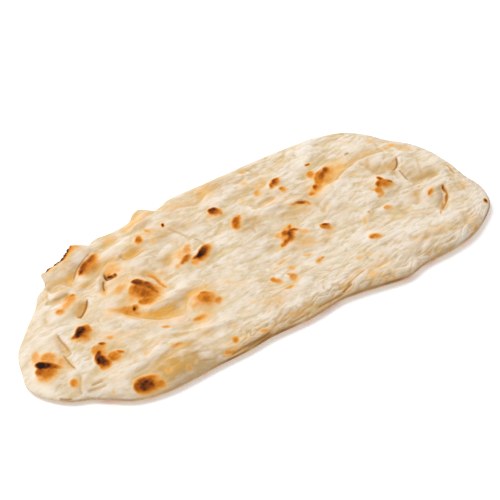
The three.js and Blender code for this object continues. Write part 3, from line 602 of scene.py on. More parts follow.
# Many of these are painted light that lightens places the key light leaves in shade, the rest flour.
FLOUR_AND_HIGHLIGHT_PATCHES = [
    (86, 261, 9, 1.8, 48, 1.0), (84, 253, 9, 4, 35, 0.8), (60, 275, 9, 3.5, 30, 0.9),
    (50, 275, 8, 4, 20, 0.6), (60, 267, 8, 3, 25, 0.6), (154, 306, 14, 2.6, 12, 0.9),
    (180, 297, 12, 2.6, 30, 0.8), (181, 304, 6, 6, 10, 0.9),
    (101, 282, 2, 9, -12, 0.9), (108, 268, 7, 2, 30, 0.7), (56, 295, 6, 4, 20, 0.5),
    (166, 292, 10, 3, -25, 0.6), (30, 350, 5, 22, 5, 0.6), (62, 326, 14, 8, 0, 0.4),
    (70, 390, 22, 4, -4, 0.5), (226, 292, 18, 5, 12, 0.4),
    (340, 160, 22, 3, 28, 0.4), (404, 158, 22, 2.6, 2, 0.6), (420, 222, 26, 5, 4, 0.5),
    (250, 262, 22, 7, 18, 0.4), (96, 312, 10, 8, 0, 0.3), (54, 343, 12, 11, 0, 0.7),
    (75, 323, 9, 7, 0, 1.1), (36, 375, 10, 16, -20, 1.4), (42, 344, 20, 24, 0, 0.75),
    (80, 258, 8, 10, 0, 1.6), (96, 245, 8, 5, 30, 0.9), (46, 391, 14, 9, -25, 1.4),
    (464, 238, 14, 9, 40, 1.5), (60, 398, 10, 4, 0, 1.2), (68, 321, 10, 9, 0, 0.7),
    (482, 205, 10, 24, 12, 1.9), (466, 214, 12, 18, 10, 0.7), (153, 264, 12, 5, 0, 0.7),
    (352, 146, 26, 6, 0, 0.8), (322, 141, 12, 5, 25, 0.6),
    (222, 331, 9, 12, -20, 1.0), (206, 354, 9, 5, 0, 1.0), (297, 301, 16, 7, 27, 1.3),
    (272, 316, 10, 6, 27, 1.2), (330, 253, 20, 9, 0, 0.9), (318, 262, 26, 6, 5, 1.1),
    (180, 295, 12, 4, 20, 0.6), (410, 262, 24, 10, 15, 1.1), (383, 208, 6, 16, 0, 0.6),
    (340, 216, 13, 13, 0, 0.8), (275, 226, 14, 6, 25, 1.0), (302, 162, 9, 8, 35, 1.4),
    (270, 155, 14, 4, 25, 0.5), (434, 160, 11, 10, -30, 1.2), (455, 180, 6, 7, 0, 0.9),
    (375, 180, 22, 7, 10, 0.6), (402, 181, 14, 6, -10, 1.1),
    (340, 236, 14, 14, 0, 0.5), (428, 245, 16, 6, 20, 0.9), (425, 156, 16, 7, -20, 0.9),
    (182, 282, 16, 8, 10, 0.7), (205, 272, 12, 5, 20, 0.4), (262, 252, 7, 12, 0, 0.8),
    (228, 212, 6, 8, -20, 0.5),
]

# How high a place lies, for its colour, painted darker in hollows as painted shade and paler on
# highs as flour: over how many cells what is round it is averaged, the height above that which
# counts in full, and its share.
LEVELS = [
    (2.5, 0.3, 0.45),
    (9.0, 0.9, 0.55),
]

# How far a place slopes down, turned from the light, for the painted shade there: over how many
# cells that is smoothed, how much its slopes to the front and to the right count, and the steepest
# that counts.
SLOPE_SHADE_BLUR = 1.5
SLOPE_SHADE_TO_FRONT = 0.95
SLOPE_SHADE_TO_RIGHT = 0.3
SLOPE_SHADE_LIMIT = 0.5
SMALLEST_CELL = 0.05  # in square millimetres, so that no slope is divided by nothing

# The upper skin's marks: its height, and what is painted on it.
MARKS = ("height", "tan_and_shade", "ochre", "toast", "dark_and_shade", "flour_and_highlight")

# The underside, which is tan with brown spots.
UNDERSIDE = {"tan_and_shade": 0.5, "ochre": 0.2, "dark_and_shade": 0.0, "flour_and_highlight": 0.0, "level": 0.0, "away": 0.0}
UNDER_GRAIN = (17, 13, 15, 151)
UNDER_TOAST = 0.22
UNDER_SPOT_TOAST = 0.5
UNDER_SPOT_START = 0.1
UNDER_SPOT_FADE = 0.6

# The crust's colours, with red, green and blue from 0 to 255 as a picture has them.
# Low dough is darker in hollows, as painted shade; high dough is pale, as flour.
LOW_DOUGH = (206, 179, 133)
HIGH_DOUGH = (232, 222, 208)
WRINKLE_SHADE_COLOUR = (206, 176, 126)
# Painted shade on slopes turned from the light.
SLOPE_SHADE_COLOUR = (200, 166, 112)
# Tan: partly the crust's own colour, partly painted shade on slopes turned from the light.
TAN_AND_SHADE_COLOUR = (190, 151, 91)
OCHRE_COLOUR = (238, 174, 62)
# Flour, and painted highlight and painted light where the dough is made paler.
FLOUR_AND_HIGHLIGHT_COLOUR = (240, 228, 210)
TOAST_COLOURS = [
    (0.0, (240, 216, 178)),
    (0.2, (236, 198, 138)),
    (0.4, (229, 160, 74)),
    (0.58, (208, 126, 32)),
    (0.74, (164, 84, 16)),
    (0.88, (108, 50, 14)),
    (1.0, (36, 14, 6)),
]
# Painted shade in creases and grooves, and a few real dark specks, take these colours.
DARK_AND_SHADE_COLOURS = [
    (0.0, (200, 158, 100)),
    (0.5, (164, 112, 60)),
    (1.0, (70, 36, 16)),
]

# The crust's grain: how it is stretched along the bread, where a scale under 1 makes it longer,
# its sizes in metres, and how strongly it shows.
LONG = (0.5, 1, 1)
OBLONG = (0.6, 1, 1)
EVEN = (1, 1, 1)
COARSE_GRAIN = 0.009
COARSE_SHARE = 2.0
FINE_GRAIN = 0.0026
FINE_SHARE = 1.3
PATCH_GRAIN = 0.0034
PORE_GRAIN = 0.0022
SPECKLE_GRAIN = 0.0024
LINES_GRAIN = 0.016
BUMP_HEIGHT = 0.0009
BUMP_STRENGTH = 0.42
LINE_DEPTH = 0.35
LINE_SHADE_SHARE = 0.5
SLOPE_SHADE_GRAIN_SHARE = 0.25
DARK_AND_SHADE_SHARE = 0.7  # how far along its colours a crease of full darkness is
TOAST_COVER = 0.54  # the toast that hides the dough's own colour

# Where values are spread over a range: from, to, and what they become there if not 0 and 1.
LEVEL_RANGE = (-1.1, 0.9)
SLOPE_SHADE_RANGE = (0.04, 0.42, 0.0, 0.5)
PATCH_RANGE = (0.3, 0.7, 0.65, 1.1)
FLOUR_AND_HIGHLIGHT_RANGE = (0.1, 1.6, 0.0, 0.9)
SPECKLE_RANGE = (0.3, 0.7, 0.93, 1.06)
DARK_AND_SHADE_RANGE = (0.05, 1.0, 0.0, 0.85)
LINES_RANGE = (0.43, 0.62)

# Mottles of the dough, olive, pale and pinkish, one over the other: the size of the grain, its
# stretch, seed, range as above, and colour.
MOTTLES = [
    (0.007, LONG, 1, (0.5, 0.68, 0.0, 0.5), (218, 194, 142)),
    (0.0062, LONG, 2, (0.48, 0.66, 0.0, 0.6), (238, 226, 212)),
    (0.009, EVEN, 3, (0.5, 0.68, 0.0, 0.35), (230, 202, 172)),
]

# Fine lines of the wrinkles: the size of the grain, its stretch, seed, and the lines' width.
FINE_LINES = [
    (0.013, (0.4, 1, 1), 7, 0.03),
    (0.008, (0.35, 1.2, 1), 8, 0.04),
]

# The studio: a white floor, a white world and one soft light from behind on the left.
FLOOR_GLOW = 0.22
FLOOR_HALF_WIDTH = 3.0
WORLD_LIGHT = 0.55
KEY_AZIMUTH = math.radians(207)
KEY_ELEVATION = math.radians(60)
KEY_DISTANCE = 2.0
KEY_SIZE = 1.4
KEY_POWER = 29.4

# The mesh: cells of the upper skin along and across, and how many of them make one of the lower.
CELLS_ALONG = 432
CELLS_ACROSS = 198
LOWER_STRIDE = 3
EDGE_CROWDING = 1.15
CORNER_CROWDING = 8
BOX_STEPS = 1440
NEAR_ZERO = 1e-6

# Numbers that stir the place of a lattice cell into one that looks random.
HASH_COLUMN = 374761393
HASH_ROW = 668265263
HASH_SEED = 974634777
HASH_MIX = 1274126177
HASH_MASK = 0xFFFFFFFF
NOISE_GAIN = 1.4  # brings the noise to about -1 to 1


# ---- Small functions ----

def smooth(value):
    """0 below 0, 1 above 1, and a smooth step between."""
    share = np.clip(value, 0.0, 1.0)
    return share * share * (3.0 - 2.0 * share)


def mix(start, end, share):
    return start + (end - start) * share


def bell(value):
    return np.exp(-value ** 2)


def quarter_round(run):
    return np.sqrt(1.0 - (1.0 - np.clip(run, 0.0, 1.0)) ** 2)


def lattice_value(column, row, seed):
    """A fixed number from 0 to 1 for each cell of an endless lattice."""
    value = (column * HASH_COLUMN + row * HASH_ROW + seed * HASH_SEED) & HASH_MASK
    value = ((value ^ (value >> 13)) * HASH_MIX) & HASH_MASK
    return ((value ^ (value >> 16)) & 0xFFFF) / 65536.0


def noise(x, y, seed):
    """Smooth gradient noise, about -1 to 1, with cells one unit wide."""
    column = np.floor(x).astype(np.int64)
    row = np.floor(y).astype(np.int64)
    in_x = x - column
    in_y = y - row

    def corner(step_x, step_y):
        turn = FULL_TURN * lattice_value(column + step_x, row + step_y, seed)
        return np.cos(turn) * (in_x - step_x) + np.sin(turn) * (in_y - step_y)

    share_x = in_x ** 3 * (in_x * (in_x * 6 - 15) + 10)
    share_y = in_y ** 3 * (in_y * (in_y * 6 - 15) + 10)
    near = mix(corner(0, 0), corner(1, 0), share_x)
    far = mix(corner(0, 1), corner(1, 1), share_x)
    return NOISE_GAIN * mix(near, far, share_y)


def direction(azimuth, elevation):
    """The direction from the bread towards a camera or a light."""
    return Vector((math.sin(azimuth) * math.cos(elevation),
                   -math.cos(azimuth) * math.cos(elevation),
                   math.sin(elevation)))


def camera_axes():
    """The camera's directions in the bread's frame: to its right, up its picture, and towards it."""
    towards = np.array(direction(CAMERA_AZIMUTH, CAMERA_ELEVATION))
    right = np.array([math.cos(CAMERA_AZIMUTH), math.sin(CAMERA_AZIMUTH), 0.0])
    return right, np.cross(towards, right), towards


def in_photo(x, y, z):
    """The pixels of the photograph, across and down, that show these places."""
    right, up, towards = camera_axes()
    off = np.stack([x, y, z], -1) - CAMERA_AIM
    scale = PHOTO_PIXELS * CAMERA_DISTANCE / VIEW_WIDTH / (CAMERA_DISTANCE / MM - off @ towards)
    return PHOTO_PIXELS / 2 + scale * (off @ right), PHOTO_PIXELS / 2 - scale * (off @ up)


def on_bread(pixels):
    """The places where the camera's rays through these pixels of the photograph meet the skin."""
    right, up, towards = camera_axes()
    off = (np.array(pixels, float) - PHOTO_PIXELS / 2) * VIEW_WIDTH / PHOTO_PIXELS / CAMERA_DISTANCE
    rays = off[:, :1] * right - off[:, 1:] * up - towards
    camera = np.array(CAMERA_AIM) + CAMERA_DISTANCE / MM * towards
    height = np.full(len(rays), CRUMB_HEIGHT)
    for _ in range(RAY_STEPS):
        places = camera + rays * ((height - camera[2]) / rays[:, 2])[:, None]
        height = broad_skin(places[:, 0], places[:, 1])
    return places[:, :2]


def turned(x, y, degrees):
    turn = math.radians(degrees)
    return x * math.cos(turn) + y * math.sin(turn), y * math.cos(turn) - x * math.sin(turn)


def layered_noise(x, y, length, width, degrees, seed, layers=3):
    """Noise whose grains are `length` by `width`, turned, with finer layers on top."""
    along, across = turned(x, y, degrees)
    total = np.zeros_like(x)
    for layer in range(layers):
        scale = 2.0 ** layer
        total += noise(along * scale / length, across * scale / width, seed + layer) / scale
    return total


# ---- The outline ----

def bearing_of(point):
    return math.atan2(point[1] / HALF_WIDTH, point[0] / HALF_LENGTH)


def round_reach(bearing):
    """The edge's reach by a smooth closed curve through the points of OUTLINE."""
    x, y = np.array(OUTLINE, float).T
    knots = np.arctan2(y / HALF_WIDTH, x / HALF_LENGTH) % FULL_TURN
    reach = np.hypot(x / HALF_LENGTH, y / HALF_WIDTH)
    count = len(knots)
    end = np.searchsorted(knots, bearing % FULL_TURN, side="right") % count
    start = (end - 1) % count
    spans = (np.roll(knots, -1) - np.roll(knots, 1)) % FULL_TURN
    slope = (np.roll(reach, -1) - np.roll(reach, 1)) / spans
    span = (knots[end] - knots[start]) % FULL_TURN
    t = ((bearing - knots[start]) % FULL_TURN) / span
    square, cube = t ** 2, t ** 3
    return ((2 * cube - 3 * square + 1) * reach[start] + (cube - 2 * square + t) * span * slope[start]
            + (3 * square - 2 * cube) * reach[end] + (cube - square) * span * slope[end])


def straight_reach(start, end, bearing):
    """The reach of the straight line between two points."""
    run_x, run_y = end[0] - start[0], end[1] - start[1]
    out_x, out_y = HALF_LENGTH * np.cos(bearing), HALF_WIDTH * np.sin(bearing)
    sideways = out_x * run_y - out_y * run_x
    safe = np.where(np.abs(sideways) < NEAR_ZERO, 1.0, sideways)
    return (start[0] * run_y - start[1] * run_x) / safe


def torn_share(bearing):
    """0 to 1 along the torn edge from its tip, and outside that range off it."""
    start, end = bearing_of(TORN_EDGE[1]), bearing_of(TORN_EDGE[-2])
    return (bearing - start) / (end - start)


def edge_reach(bearing):
    reach = round_reach(bearing)
    for start, end in zip(TORN_EDGE, TORN_EDGE[1:]):
        here = (bearing > bearing_of(start)) & (bearing <= bearing_of(end))
        reach = np.where(here, straight_reach(start, end, bearing), reach)
    return reach


def edge_point(bearing):
    reach = edge_reach(bearing)
    return HALF_LENGTH * reach * np.cos(bearing), HALF_WIDTH * reach * np.sin(bearing)


def ellipse_distance(bearing):
    """How far the tangent line of the plain ellipse passes from the middle."""
    return 1 / np.hypot(np.cos(bearing) / HALF_LENGTH, np.sin(bearing) / HALF_WIDTH)


def places(columns, rows):
    """The plan places of a grid of cells, a square bent into the outline."""
    u, v = np.meshgrid(np.linspace(-1, 1, columns + 1), np.linspace(-1, 1, rows + 1), indexing="ij")
    across = u * np.sqrt(1 - v * v / 2)
    along = v * np.sqrt(1 - u * u / 2)
    bearing = np.arctan2(along, across)
    run = 1 - (1 - np.minimum(1.0, np.hypot(across, along))) ** EDGE_CROWDING
    full = edge_reach(bearing)
    smooth_full = round_reach(bearing)
    reach = mix(1.0, smooth_full, run ** 2) + (full - smooth_full) * run ** CORNER_CROWDING
    x = run * reach * HALF_LENGTH * np.cos(bearing)
    y = run * reach * HALF_WIDTH * np.sin(bearing)
    inset = (full - run * reach) * ellipse_distance(bearing)
    return {"x": x, "y": y, "bearing": bearing, "inset": inset}


def box_middle():
    """The middle of the outline's box, which the solid has over its origin."""
    x, y = edge_point(np.linspace(-math.pi, math.pi, BOX_STEPS, endpoint=False))
    return (x.max() + x.min()) / 2, (y.max() + y.min()) / 2


def tooth_gap(share):
    """0 at the tip of a tooth of the torn edge, and 1 midway between two teeth."""
    place = share * TEETH + TOOTH_SHIFT * np.sin(TOOTH_SHIFT_PACE * share)
    return np.abs(2 * (place - np.floor(place)) - 1)


def bite_teeth(place):
    """Draws the torn edge back between its teeth."""
    share = torn_share(place["bearing"])
    torn = smooth(share / TORN_FADE) * smooth((1 - share) / TORN_FADE)
    (start_x, start_y), (end_x, end_y) = TORN_EDGE[1], TORN_EDGE[-2]
    run_x, run_y = end_x - start_x, end_y - start_y
    length = math.hypot(run_x, run_y)
    depth = TOOTH_DEPTH * tooth_gap(share) * torn * bell(place["inset"] / TOOTH_REACH)
    place["x"] = place["x"] - depth * run_y / length
    place["y"] = place["y"] + depth * run_x / length
    place["torn"] = torn


# ---- The relief ----

def mound_reach(x, y, middle_x, middle_y, half_length, half_width, degrees):
    """How far a place is from a mound's middle, in parts of its half sizes."""
    along, across = turned(x - middle_x, y - middle_y, degrees)
    return np.hypot(along / half_length, across / half_width)


def mound(x, y, *shape):
    return np.clip(1 - mound_reach(x, y, *shape) ** 2, 0, 1) ** 2


def mounds_height(mounds, x, y):
    return sum(rise * mound(x, y, *shape) for *shape, rise in mounds)


def smooth_line(points):
    """A smooth curve through a fold's points, as closely set points."""
    given = np.array(points, float)
    last = len(given) - 1
    line = []
    for i in range(last):
        before, start, end, after = (given[min(max(i + step, 0), last)] for step in (-1, 0, 1, 2))
        for step in range(STEPS_BETWEEN_FOLD_POINTS):
            t = step / STEPS_BETWEEN_FOLD_POINTS
            line.append(0.5 * (2 * start + (end - before) * t
                               + (2 * before - 5 * start + 4 * end - after) * t ** 2
                               + (3 * start - before - 3 * end + after) * t ** 3))
    return np.array(line + [given[last]])


def nearest_on_line(points, x, y):
    """Each place's distance from a line, its side, and how far along the line that is, 0 to 1."""
    line = smooth_line(points)
    distance = np.full(x.shape, np.inf)
    side = np.zeros(x.shape)
    run = np.zeros(x.shape)
    for i in range(len(line) - 1):
        step = line[i + 1] - line[i]
        off_x, off_y = x - line[i][0], y - line[i][1]
        share = np.clip((off_x * step[0] + off_y * step[1]) / (step @ step), 0, 1)
        here = np.hypot(off_x - share * step[0], off_y - share * step[1])
        closer = here < distance
        distance = np.where(closer, here, distance)
        side = np.where(closer, np.sign(step[1] * off_x - step[0] * off_y), side)
        run = np.where(closer, (i + share) / (len(line) - 1), run)
    return distance, side, run


def end_fade(run):
    return smooth(run / END_FADE) * smooth((1 - run) / END_FADE)


def waves_height(x, y):
    return sum(rise * np.sin(FULL_TURN * (x / length_x + y / length_y) + phase)
               for length_x, length_y, phase, rise in WAVES)


def broad_relief(x, y):
    """The swells, blisters, waves and broad folds, which the solid has too."""
    height = mounds_height(SWELLS, x, y) + mounds_height(BLISTERS, x, y) + waves_height(x, y)
    for rise, width, points in BROAD_FOLDS:
        distance, _, run = nearest_on_line(points, x, y)
        height += rise * bell(distance / width) * end_fade(run)
    return height


def paint(marks, name, field):
    """Paints a field over one of the marks, wherever it is the stronger."""
    marks[name] = np.maximum(marks[name], field)


def add_creases(marks, x, y):
    for rise, width, cut, dark, pixels in FOLDS:
        distance, _, run = nearest_on_line(on_bread(pixels), x, y)
        thin = bell(distance / CREASE_WIDTH) * end_fade(run)
        groove = rise * bell(distance / width) * end_fade(run) - cut * thin
        marks["height"] += CREASE_DEPTH * groove
        # painted shade along the crease
        paint(marks, "dark_and_shade", dark * thin)


def add_edges(marks, x, y):
    for rise, hold, width, tan_and_shade, ochre, toast, dark, fade, pixels in EDGES:
        distance, side, run = nearest_on_line(on_bread(pixels), x, y)
        out = side * distance
        ends = end_fade(run)
        step = 0.5 * EDGE_STEP * rise * np.tanh(out / (EDGE_SOFTNESS * width))
        marks["height"] -= step * np.exp(-distance / hold) * ends
        fall = np.exp(-(np.maximum(out, 0) / fade) ** FOOT_FALLOFF)
        # the foot's colour is partly painted shade, where the edge's low side turns from the light
        foot = smooth(0.5 + out / FOOT_WIDTH) * fall * ends
        for name, strength in (("tan_and_shade", tan_and_shade), ("ochre", ochre), ("toast", toast)):
            paint(marks, name, strength * foot)
        paint(marks, "dark_and_shade", dark * bell((out - CREASE_SEAT) / CREASE_WIDTH) * ends)
        # a painted highlight on the lip
        lip_highlight = bell((out + LIP_SEAT) / LIP_WIDTH) * ends
        paint(marks, "flour_and_highlight", lip_highlight * min(1.0, rise) * LIP_HIGHLIGHT_SHARE)


def wrinkles(x, y, length, width, degrees, groove, seed):
    """Pillows of dough parted by narrow grooves: 0 in a groove, up to 1 on a pillow."""
    seed_x, seed_y = (seed + step for step in PULL_SEEDS)
    wide = PULL_STRETCH * width
    pull_x = PULL_ALONG * length * noise(x / length, y / length, seed_x)
    pull_y = PULL_ACROSS * width * noise(x / wide, y / wide, seed_y)
    grains = layered_noise(x + pull_x, y + pull_y, length, width, degrees, seed, layers=2)
    return 1 - np.exp(-np.abs(grains) / groove)


def right_of(x, start, fade):
    """0 left of a place along the bread, and rising to 1 on its right."""
    return smooth((x - start) / fade)


def to_front(place, start, fade):
    """0 until a bearing's sine is low enough, and rising to 1 towards the front."""
    return smooth((-start - np.sin(place["bearing"])) / fade)


def wrinkles_height(x, y):
    """The dough's own unevenness: soft lumps, and wrinkles that are higher on the right half."""
    right = right_of(x, *RIGHT_HALF)
    height = np.zeros_like(x)
    for *grain, on_left, on_right in LUMPS:
        height += mix(on_left, on_right, right) * layered_noise(x, y, *grain, layers=2)
    for *grain, on_left, on_right in WRINKLES:
        height += mix(on_left, on_right, right) * wrinkles(x, y, *grain)
    return height


def add_gathers(marks, place):
    """The dough near the front edge is gathered, with painted shade, tan to brown, in the grooves
    between.
    """
    x, y = place["x"], place["y"]
    gathered = bell(place["inset"] / GATHER_REACH)
    gathered *= to_front(place, *GATHER_FRONT) * right_of(x, *GATHER_RIGHT)
    pillows = wrinkles(x, y, *GATHER_WRINKLES)
    groove_shade = GATHER_GROOVE_SHADE * gathered * (1 - pillows)
    marks["height"] += GATHER_HEIGHT * gathered * (pillows - GATHER_MEAN)
    # painted shade in the grooves
    paint(marks, "tan_and_shade", groove_shade)
    paint(marks, "dark_and_shade", groove_shade * (1 - pillows))


def slopes(field, x, y):
    """How steeply a field rises towards +X and towards +Y."""
    along_columns, along_rows = np.gradient(field)
    x_columns, x_rows = np.gradient(x)
    y_columns, y_rows = np.gradient(y)
    area = x_columns * y_rows - x_rows * y_columns
    area = np.where(np.abs(area) < SMALLEST_CELL, SMALLEST_CELL, area)
    to_x = (along_columns * y_rows - along_rows * y_columns) / area
    to_y = (along_rows * x_columns - along_columns * x_rows) / area
    return to_x, to_y


# ---- The two skins ----

def edge_height(bearing):
    return EDGE_HEIGHT + EDGE_RISE_RIGHT * np.cos(bearing) - EDGE_RISE_FRONT * np.sin(bearing)


def corner_lift(x, y):
    *shape, lift = TORN_CORNER
    return lift * mound(x, y, *shape)


def upper_skin(place, relief):
    level = mix(edge_height(place["bearing"]), CRUMB_HEIGHT, smooth(place["inset"] / CROWN_WIDTH))
    waist = EDGE_WAIST * edge_height(place["bearing"])
    rounded = (level + relief - waist) * quarter_round(place["inset"] / SHOULDER_WIDTH)
    return waist + rounded + corner_lift(place["x"], place["y"])


def broad_skin(x, y):
    """The height of the upper skin at any place, without its finer relief."""
    bearing = np.arctan2(y / HALF_WIDTH, x / HALF_LENGTH)
    reach = np.hypot(x / HALF_LENGTH, y / HALF_WIDTH)
    inset = np.maximum(0, edge_reach(bearing) - reach) * ellipse_distance(bearing)
    return upper_skin({"x": x, "y": y, "bearing": bearing, "inset": inset}, broad_relief(x, y))


def lower_skin(place):
    turned_up = 1 - quarter_round(place["inset"] / UNDERCUT_WIDTH)
    waist = EDGE_WAIST * edge_height(place["bearing"])
    return waist * turned_up + corner_lift(place["x"], place["y"])


# ---- The painted marks ----

def blurred(field, cells):
    """A field smoothed over a number of cells each way."""
    reach = int(3 * cells)
    weights = np.exp(-0.5 * (np.arange(-reach, reach + 1) / cells) ** 2)
    weights /= weights.sum()
    for axis in (0, 1):
        padding = [(reach, reach) if a == axis else (0, 0) for a in (0, 1)]
        padded = np.pad(field, padding, mode="edge")
        length = field.shape[axis]
        field = sum(weight * np.take(padded, range(step, step + length), axis)
                    for step, weight in enumerate(weights))
    return field


def unevenness(x, y, seed):
    """How far each place is pulled, in millimetres, to make painted outlines uneven."""
    coarse = layered_noise(x, y, UNEVEN_SIZE, UNEVEN_SIZE, 0, seed, layers=2)
    fine = noise(x / FINE_UNEVEN_SIZE, y / FINE_UNEVEN_SIZE, seed + FINE_UNEVEN_SEED)
    return UNEVEN_PULL * coarse + FINE_UNEVEN_PULL * fine


def ragged_pixels(x, y, z):
    """The pixels that show these places once they are pulled about."""
    shift_x, shift_y = (unevenness(x, y, seed) for seed in UNEVEN_SEEDS)
    return in_photo(x + shift_x, y + shift_y, z)


def pixel_reach(across, down, middle_across, middle_down, half_length, half_width, degrees):
    """How far pixels are from a patch's middle, in parts of its half sizes."""
    along, over = turned(across - middle_across, middle_down - down, degrees)
    return np.hypot(along / half_length, over / half_width)


def spot(across, down, middle_across, middle_down, half_length, half_width, degrees, strength):
    """A toasted spot, crisp on one side and fading out on the other."""
    shape = (middle_across, middle_down, half_length, half_width, degrees)
    reach = pixel_reach(across, down, *shape)
    side_x, side_y = turned(*CRISP_SIDE, degrees)
    size = math.hypot(side_x * half_length, side_y * half_width)
    off = (across - middle_across) * CRISP_SIDE[0] + (middle_down - down) * CRISP_SIDE[1]
    lean = np.clip(off / size, -1, 1)
    crisp = smooth((lean + 1) / 2) * smooth((strength - WEAK_SPOT) / CRISP_RANGE)
    softness = mix(SPOT_SOFTNESS, min(CRISP_SOFTNESS, CRISP_PIXELS / size), crisp)
    edge = 1 - smooth((reach - 1 + softness) / (2 * softness))
    return strength * edge * mix(FAINT_SIDE, 1.0, smooth((lean + 1) / FAINT_RUN))


def toast_field(pixels, x, y):
    """How far each place is toasted: 0 pale, 0.5 orange, 1 charred."""
    total = sum(spot(*pixels, *shape) ** SPOT_JOINING for shape in SPOTS)
    grain = layered_noise(x, y, *TOAST_GRAIN)
    return total ** (1 / SPOT_JOINING) * (1 + TOAST_VARIATION * grain)


def patches_field(patches, pixels):
    field = np.zeros(pixels[0].shape)
    for *shape, strength in patches:
        field = np.maximum(field, strength * bell(pixel_reach(*pixels, *shape)))
    return field


def torn_toast(place):
    """The torn edge is charred at its teeth, with an orange band behind them."""
    share = torn_share(place["bearing"])
    teeth = bell(place["inset"] / CHAR_REACH) * mix(*CHAR_TOAST, tooth_gap(share))
    band_reach = mix(*BAND_REACH, smooth(share / BAND_NARROWING))
    band = bell(place["inset"] / band_reach) * mix(*BAND_TOAST, smooth(share))
    return np.maximum(teeth, band) * place["torn"]


def rim_shadow_and_brown(place):
    """Lowest band of the front edge: painted shadow, and brown from the oven's hot floor."""
    grain = layered_noise(place["x"], place["y"], *RIM_SHADOW_BROWN_GRAIN)
    uneven = np.clip(RIM_SHADOW_BROWN_MEAN + RIM_SHADOW_BROWN_VARIATION * grain, 0, 1)
    low = bell(place["inset"] / RIM_SHADOW_BROWN_REACH)
    return low * mix(RIM_SHADOW_BROWN_LEAST, 1.0, uneven) * to_front(place, *RIM_FRONT)


def rim_shade(place):
    """The front rim, which turns from the light, gets painted shade from the left end's spots on."""
    front = to_front(place, *RIM_FRONT) * right_of(place["x"], *RIM_SHADE_RIGHT)
    return RIM_SHADE * bell(place["inset"] / RIM_SHADE_REACH) * front


def level_field(relief):
    """How far each place lies below or above what is round it, about -1 to 1."""
    return sum(share * np.clip((relief - blurred(relief, cells)) / full, -1, 1)
               for cells, full, share in LEVELS)


def away_field(relief, x, y):
    """How far each place slopes down, mostly to the front and turned from the light, for painted shade.
    """
    to_x, to_y = slopes(blurred(relief, SLOPE_SHADE_BLUR), x, y)
    return np.clip(SLOPE_SHADE_TO_FRONT * to_y - SLOPE_SHADE_TO_RIGHT * to_x, -SLOPE_SHADE_LIMIT, SLOPE_SHADE_LIMIT)


def upper_marks(place):
    """The upper skin's height, and the fields that are painted on it."""
    x, y = place["x"], place["y"]
    marks = {name: np.zeros(x.shape) for name in MARKS}
    add_creases(marks, x, y)
    add_edges(marks, x, y)
    add_gathers(marks, place)
    relief = marks["height"] + broad_relief(x, y) + wrinkles_height(x, y) - MEAN_WRINKLE
    marks["level"] = level_field(relief)
    marks["away"] = away_field(relief, x, y)
    marks["height"] = upper_skin(place, relief)
    pixels = ragged_pixels(x, y, marks["height"])
    paint(marks, "toast", toast_field(pixels, x, y))
    paint(marks, "toast", torn_toast(place))
    # painted shadow and painted shade along the front rim
    paint(marks, "dark_and_shade", rim_shadow_and_brown(place))
    paint(marks, "tan_and_shade", rim_shade(place))
    # the tan patches are partly painted shade, and the pale ones partly painted light
    for name, patches in (("tan_and_shade", TAN_AND_SHADE_PATCHES), ("ochre", OCHRE_PATCHES), ("flour_and_highlight", FLOUR_AND_HIGHLIGHT_PATCHES)):
        paint(marks, name, patches_field(patches, pixels))
    return marks


def under_marks(x, y):
    """The underside is tan, with brown spots where it lay closest on the oven's floor."""
    patches = layered_noise(x, y, *UNDER_GRAIN)
    spots = smooth((patches - UNDER_SPOT_START) / UNDER_SPOT_FADE)
    return {**UNDERSIDE, "toast": UNDER_TOAST + UNDER_SPOT_TOAST * spots}


# ---- The mesh ----

def grid_faces(index, columns, rows):
    a = index[:columns, :rows]
    b = index[1:columns + 1, :rows]
    c = index[1:columns + 1, 1:rows + 1]
    d = index[:columns, 1:rows + 1]
    return np.stack([a, b, c, d], -1).reshape(-1, 4)


def cell_ring():
    """The steps round one cell of the lower skin, by every vertex of the upper skin's cells."""
    last = LOWER_STRIDE
    steps = [(0, k) for k in range(last)] + [(k, last) for k in range(last)]
    return steps + [(last, last - k) for k in range(last)] + [(last - k, 0) for k in range(last)]


def lower_faces(index):
    """The lower skin's cells: quads inside, and fans where a cell takes in the edge's vertices."""
    columns, rows = index.shape[0] - 1, index.shape[1] - 1
    faces = []
    for column in range(0, columns, LOWER_STRIDE):
        for row in range(0, rows, LOWER_STRIDE):
            ring = [(column + right, row + back) for right, back in cell_ring()]
            ring = [place for place in ring if index[place] >= 0]
            if len(ring) == 4:
                faces.append([int(index[place]) for place in ring])
                continue
            off_middle = [abs(c - columns / 2) + abs(r - rows / 2) for c, r in ring]
            start = off_middle.index(min(off_middle))
            corners = [int(index[place]) for place in ring[start:] + ring[:start]]
            faces += [[corners[0], corners[i], corners[i + 1]] for i in range(1, len(corners) - 1)]
    return faces


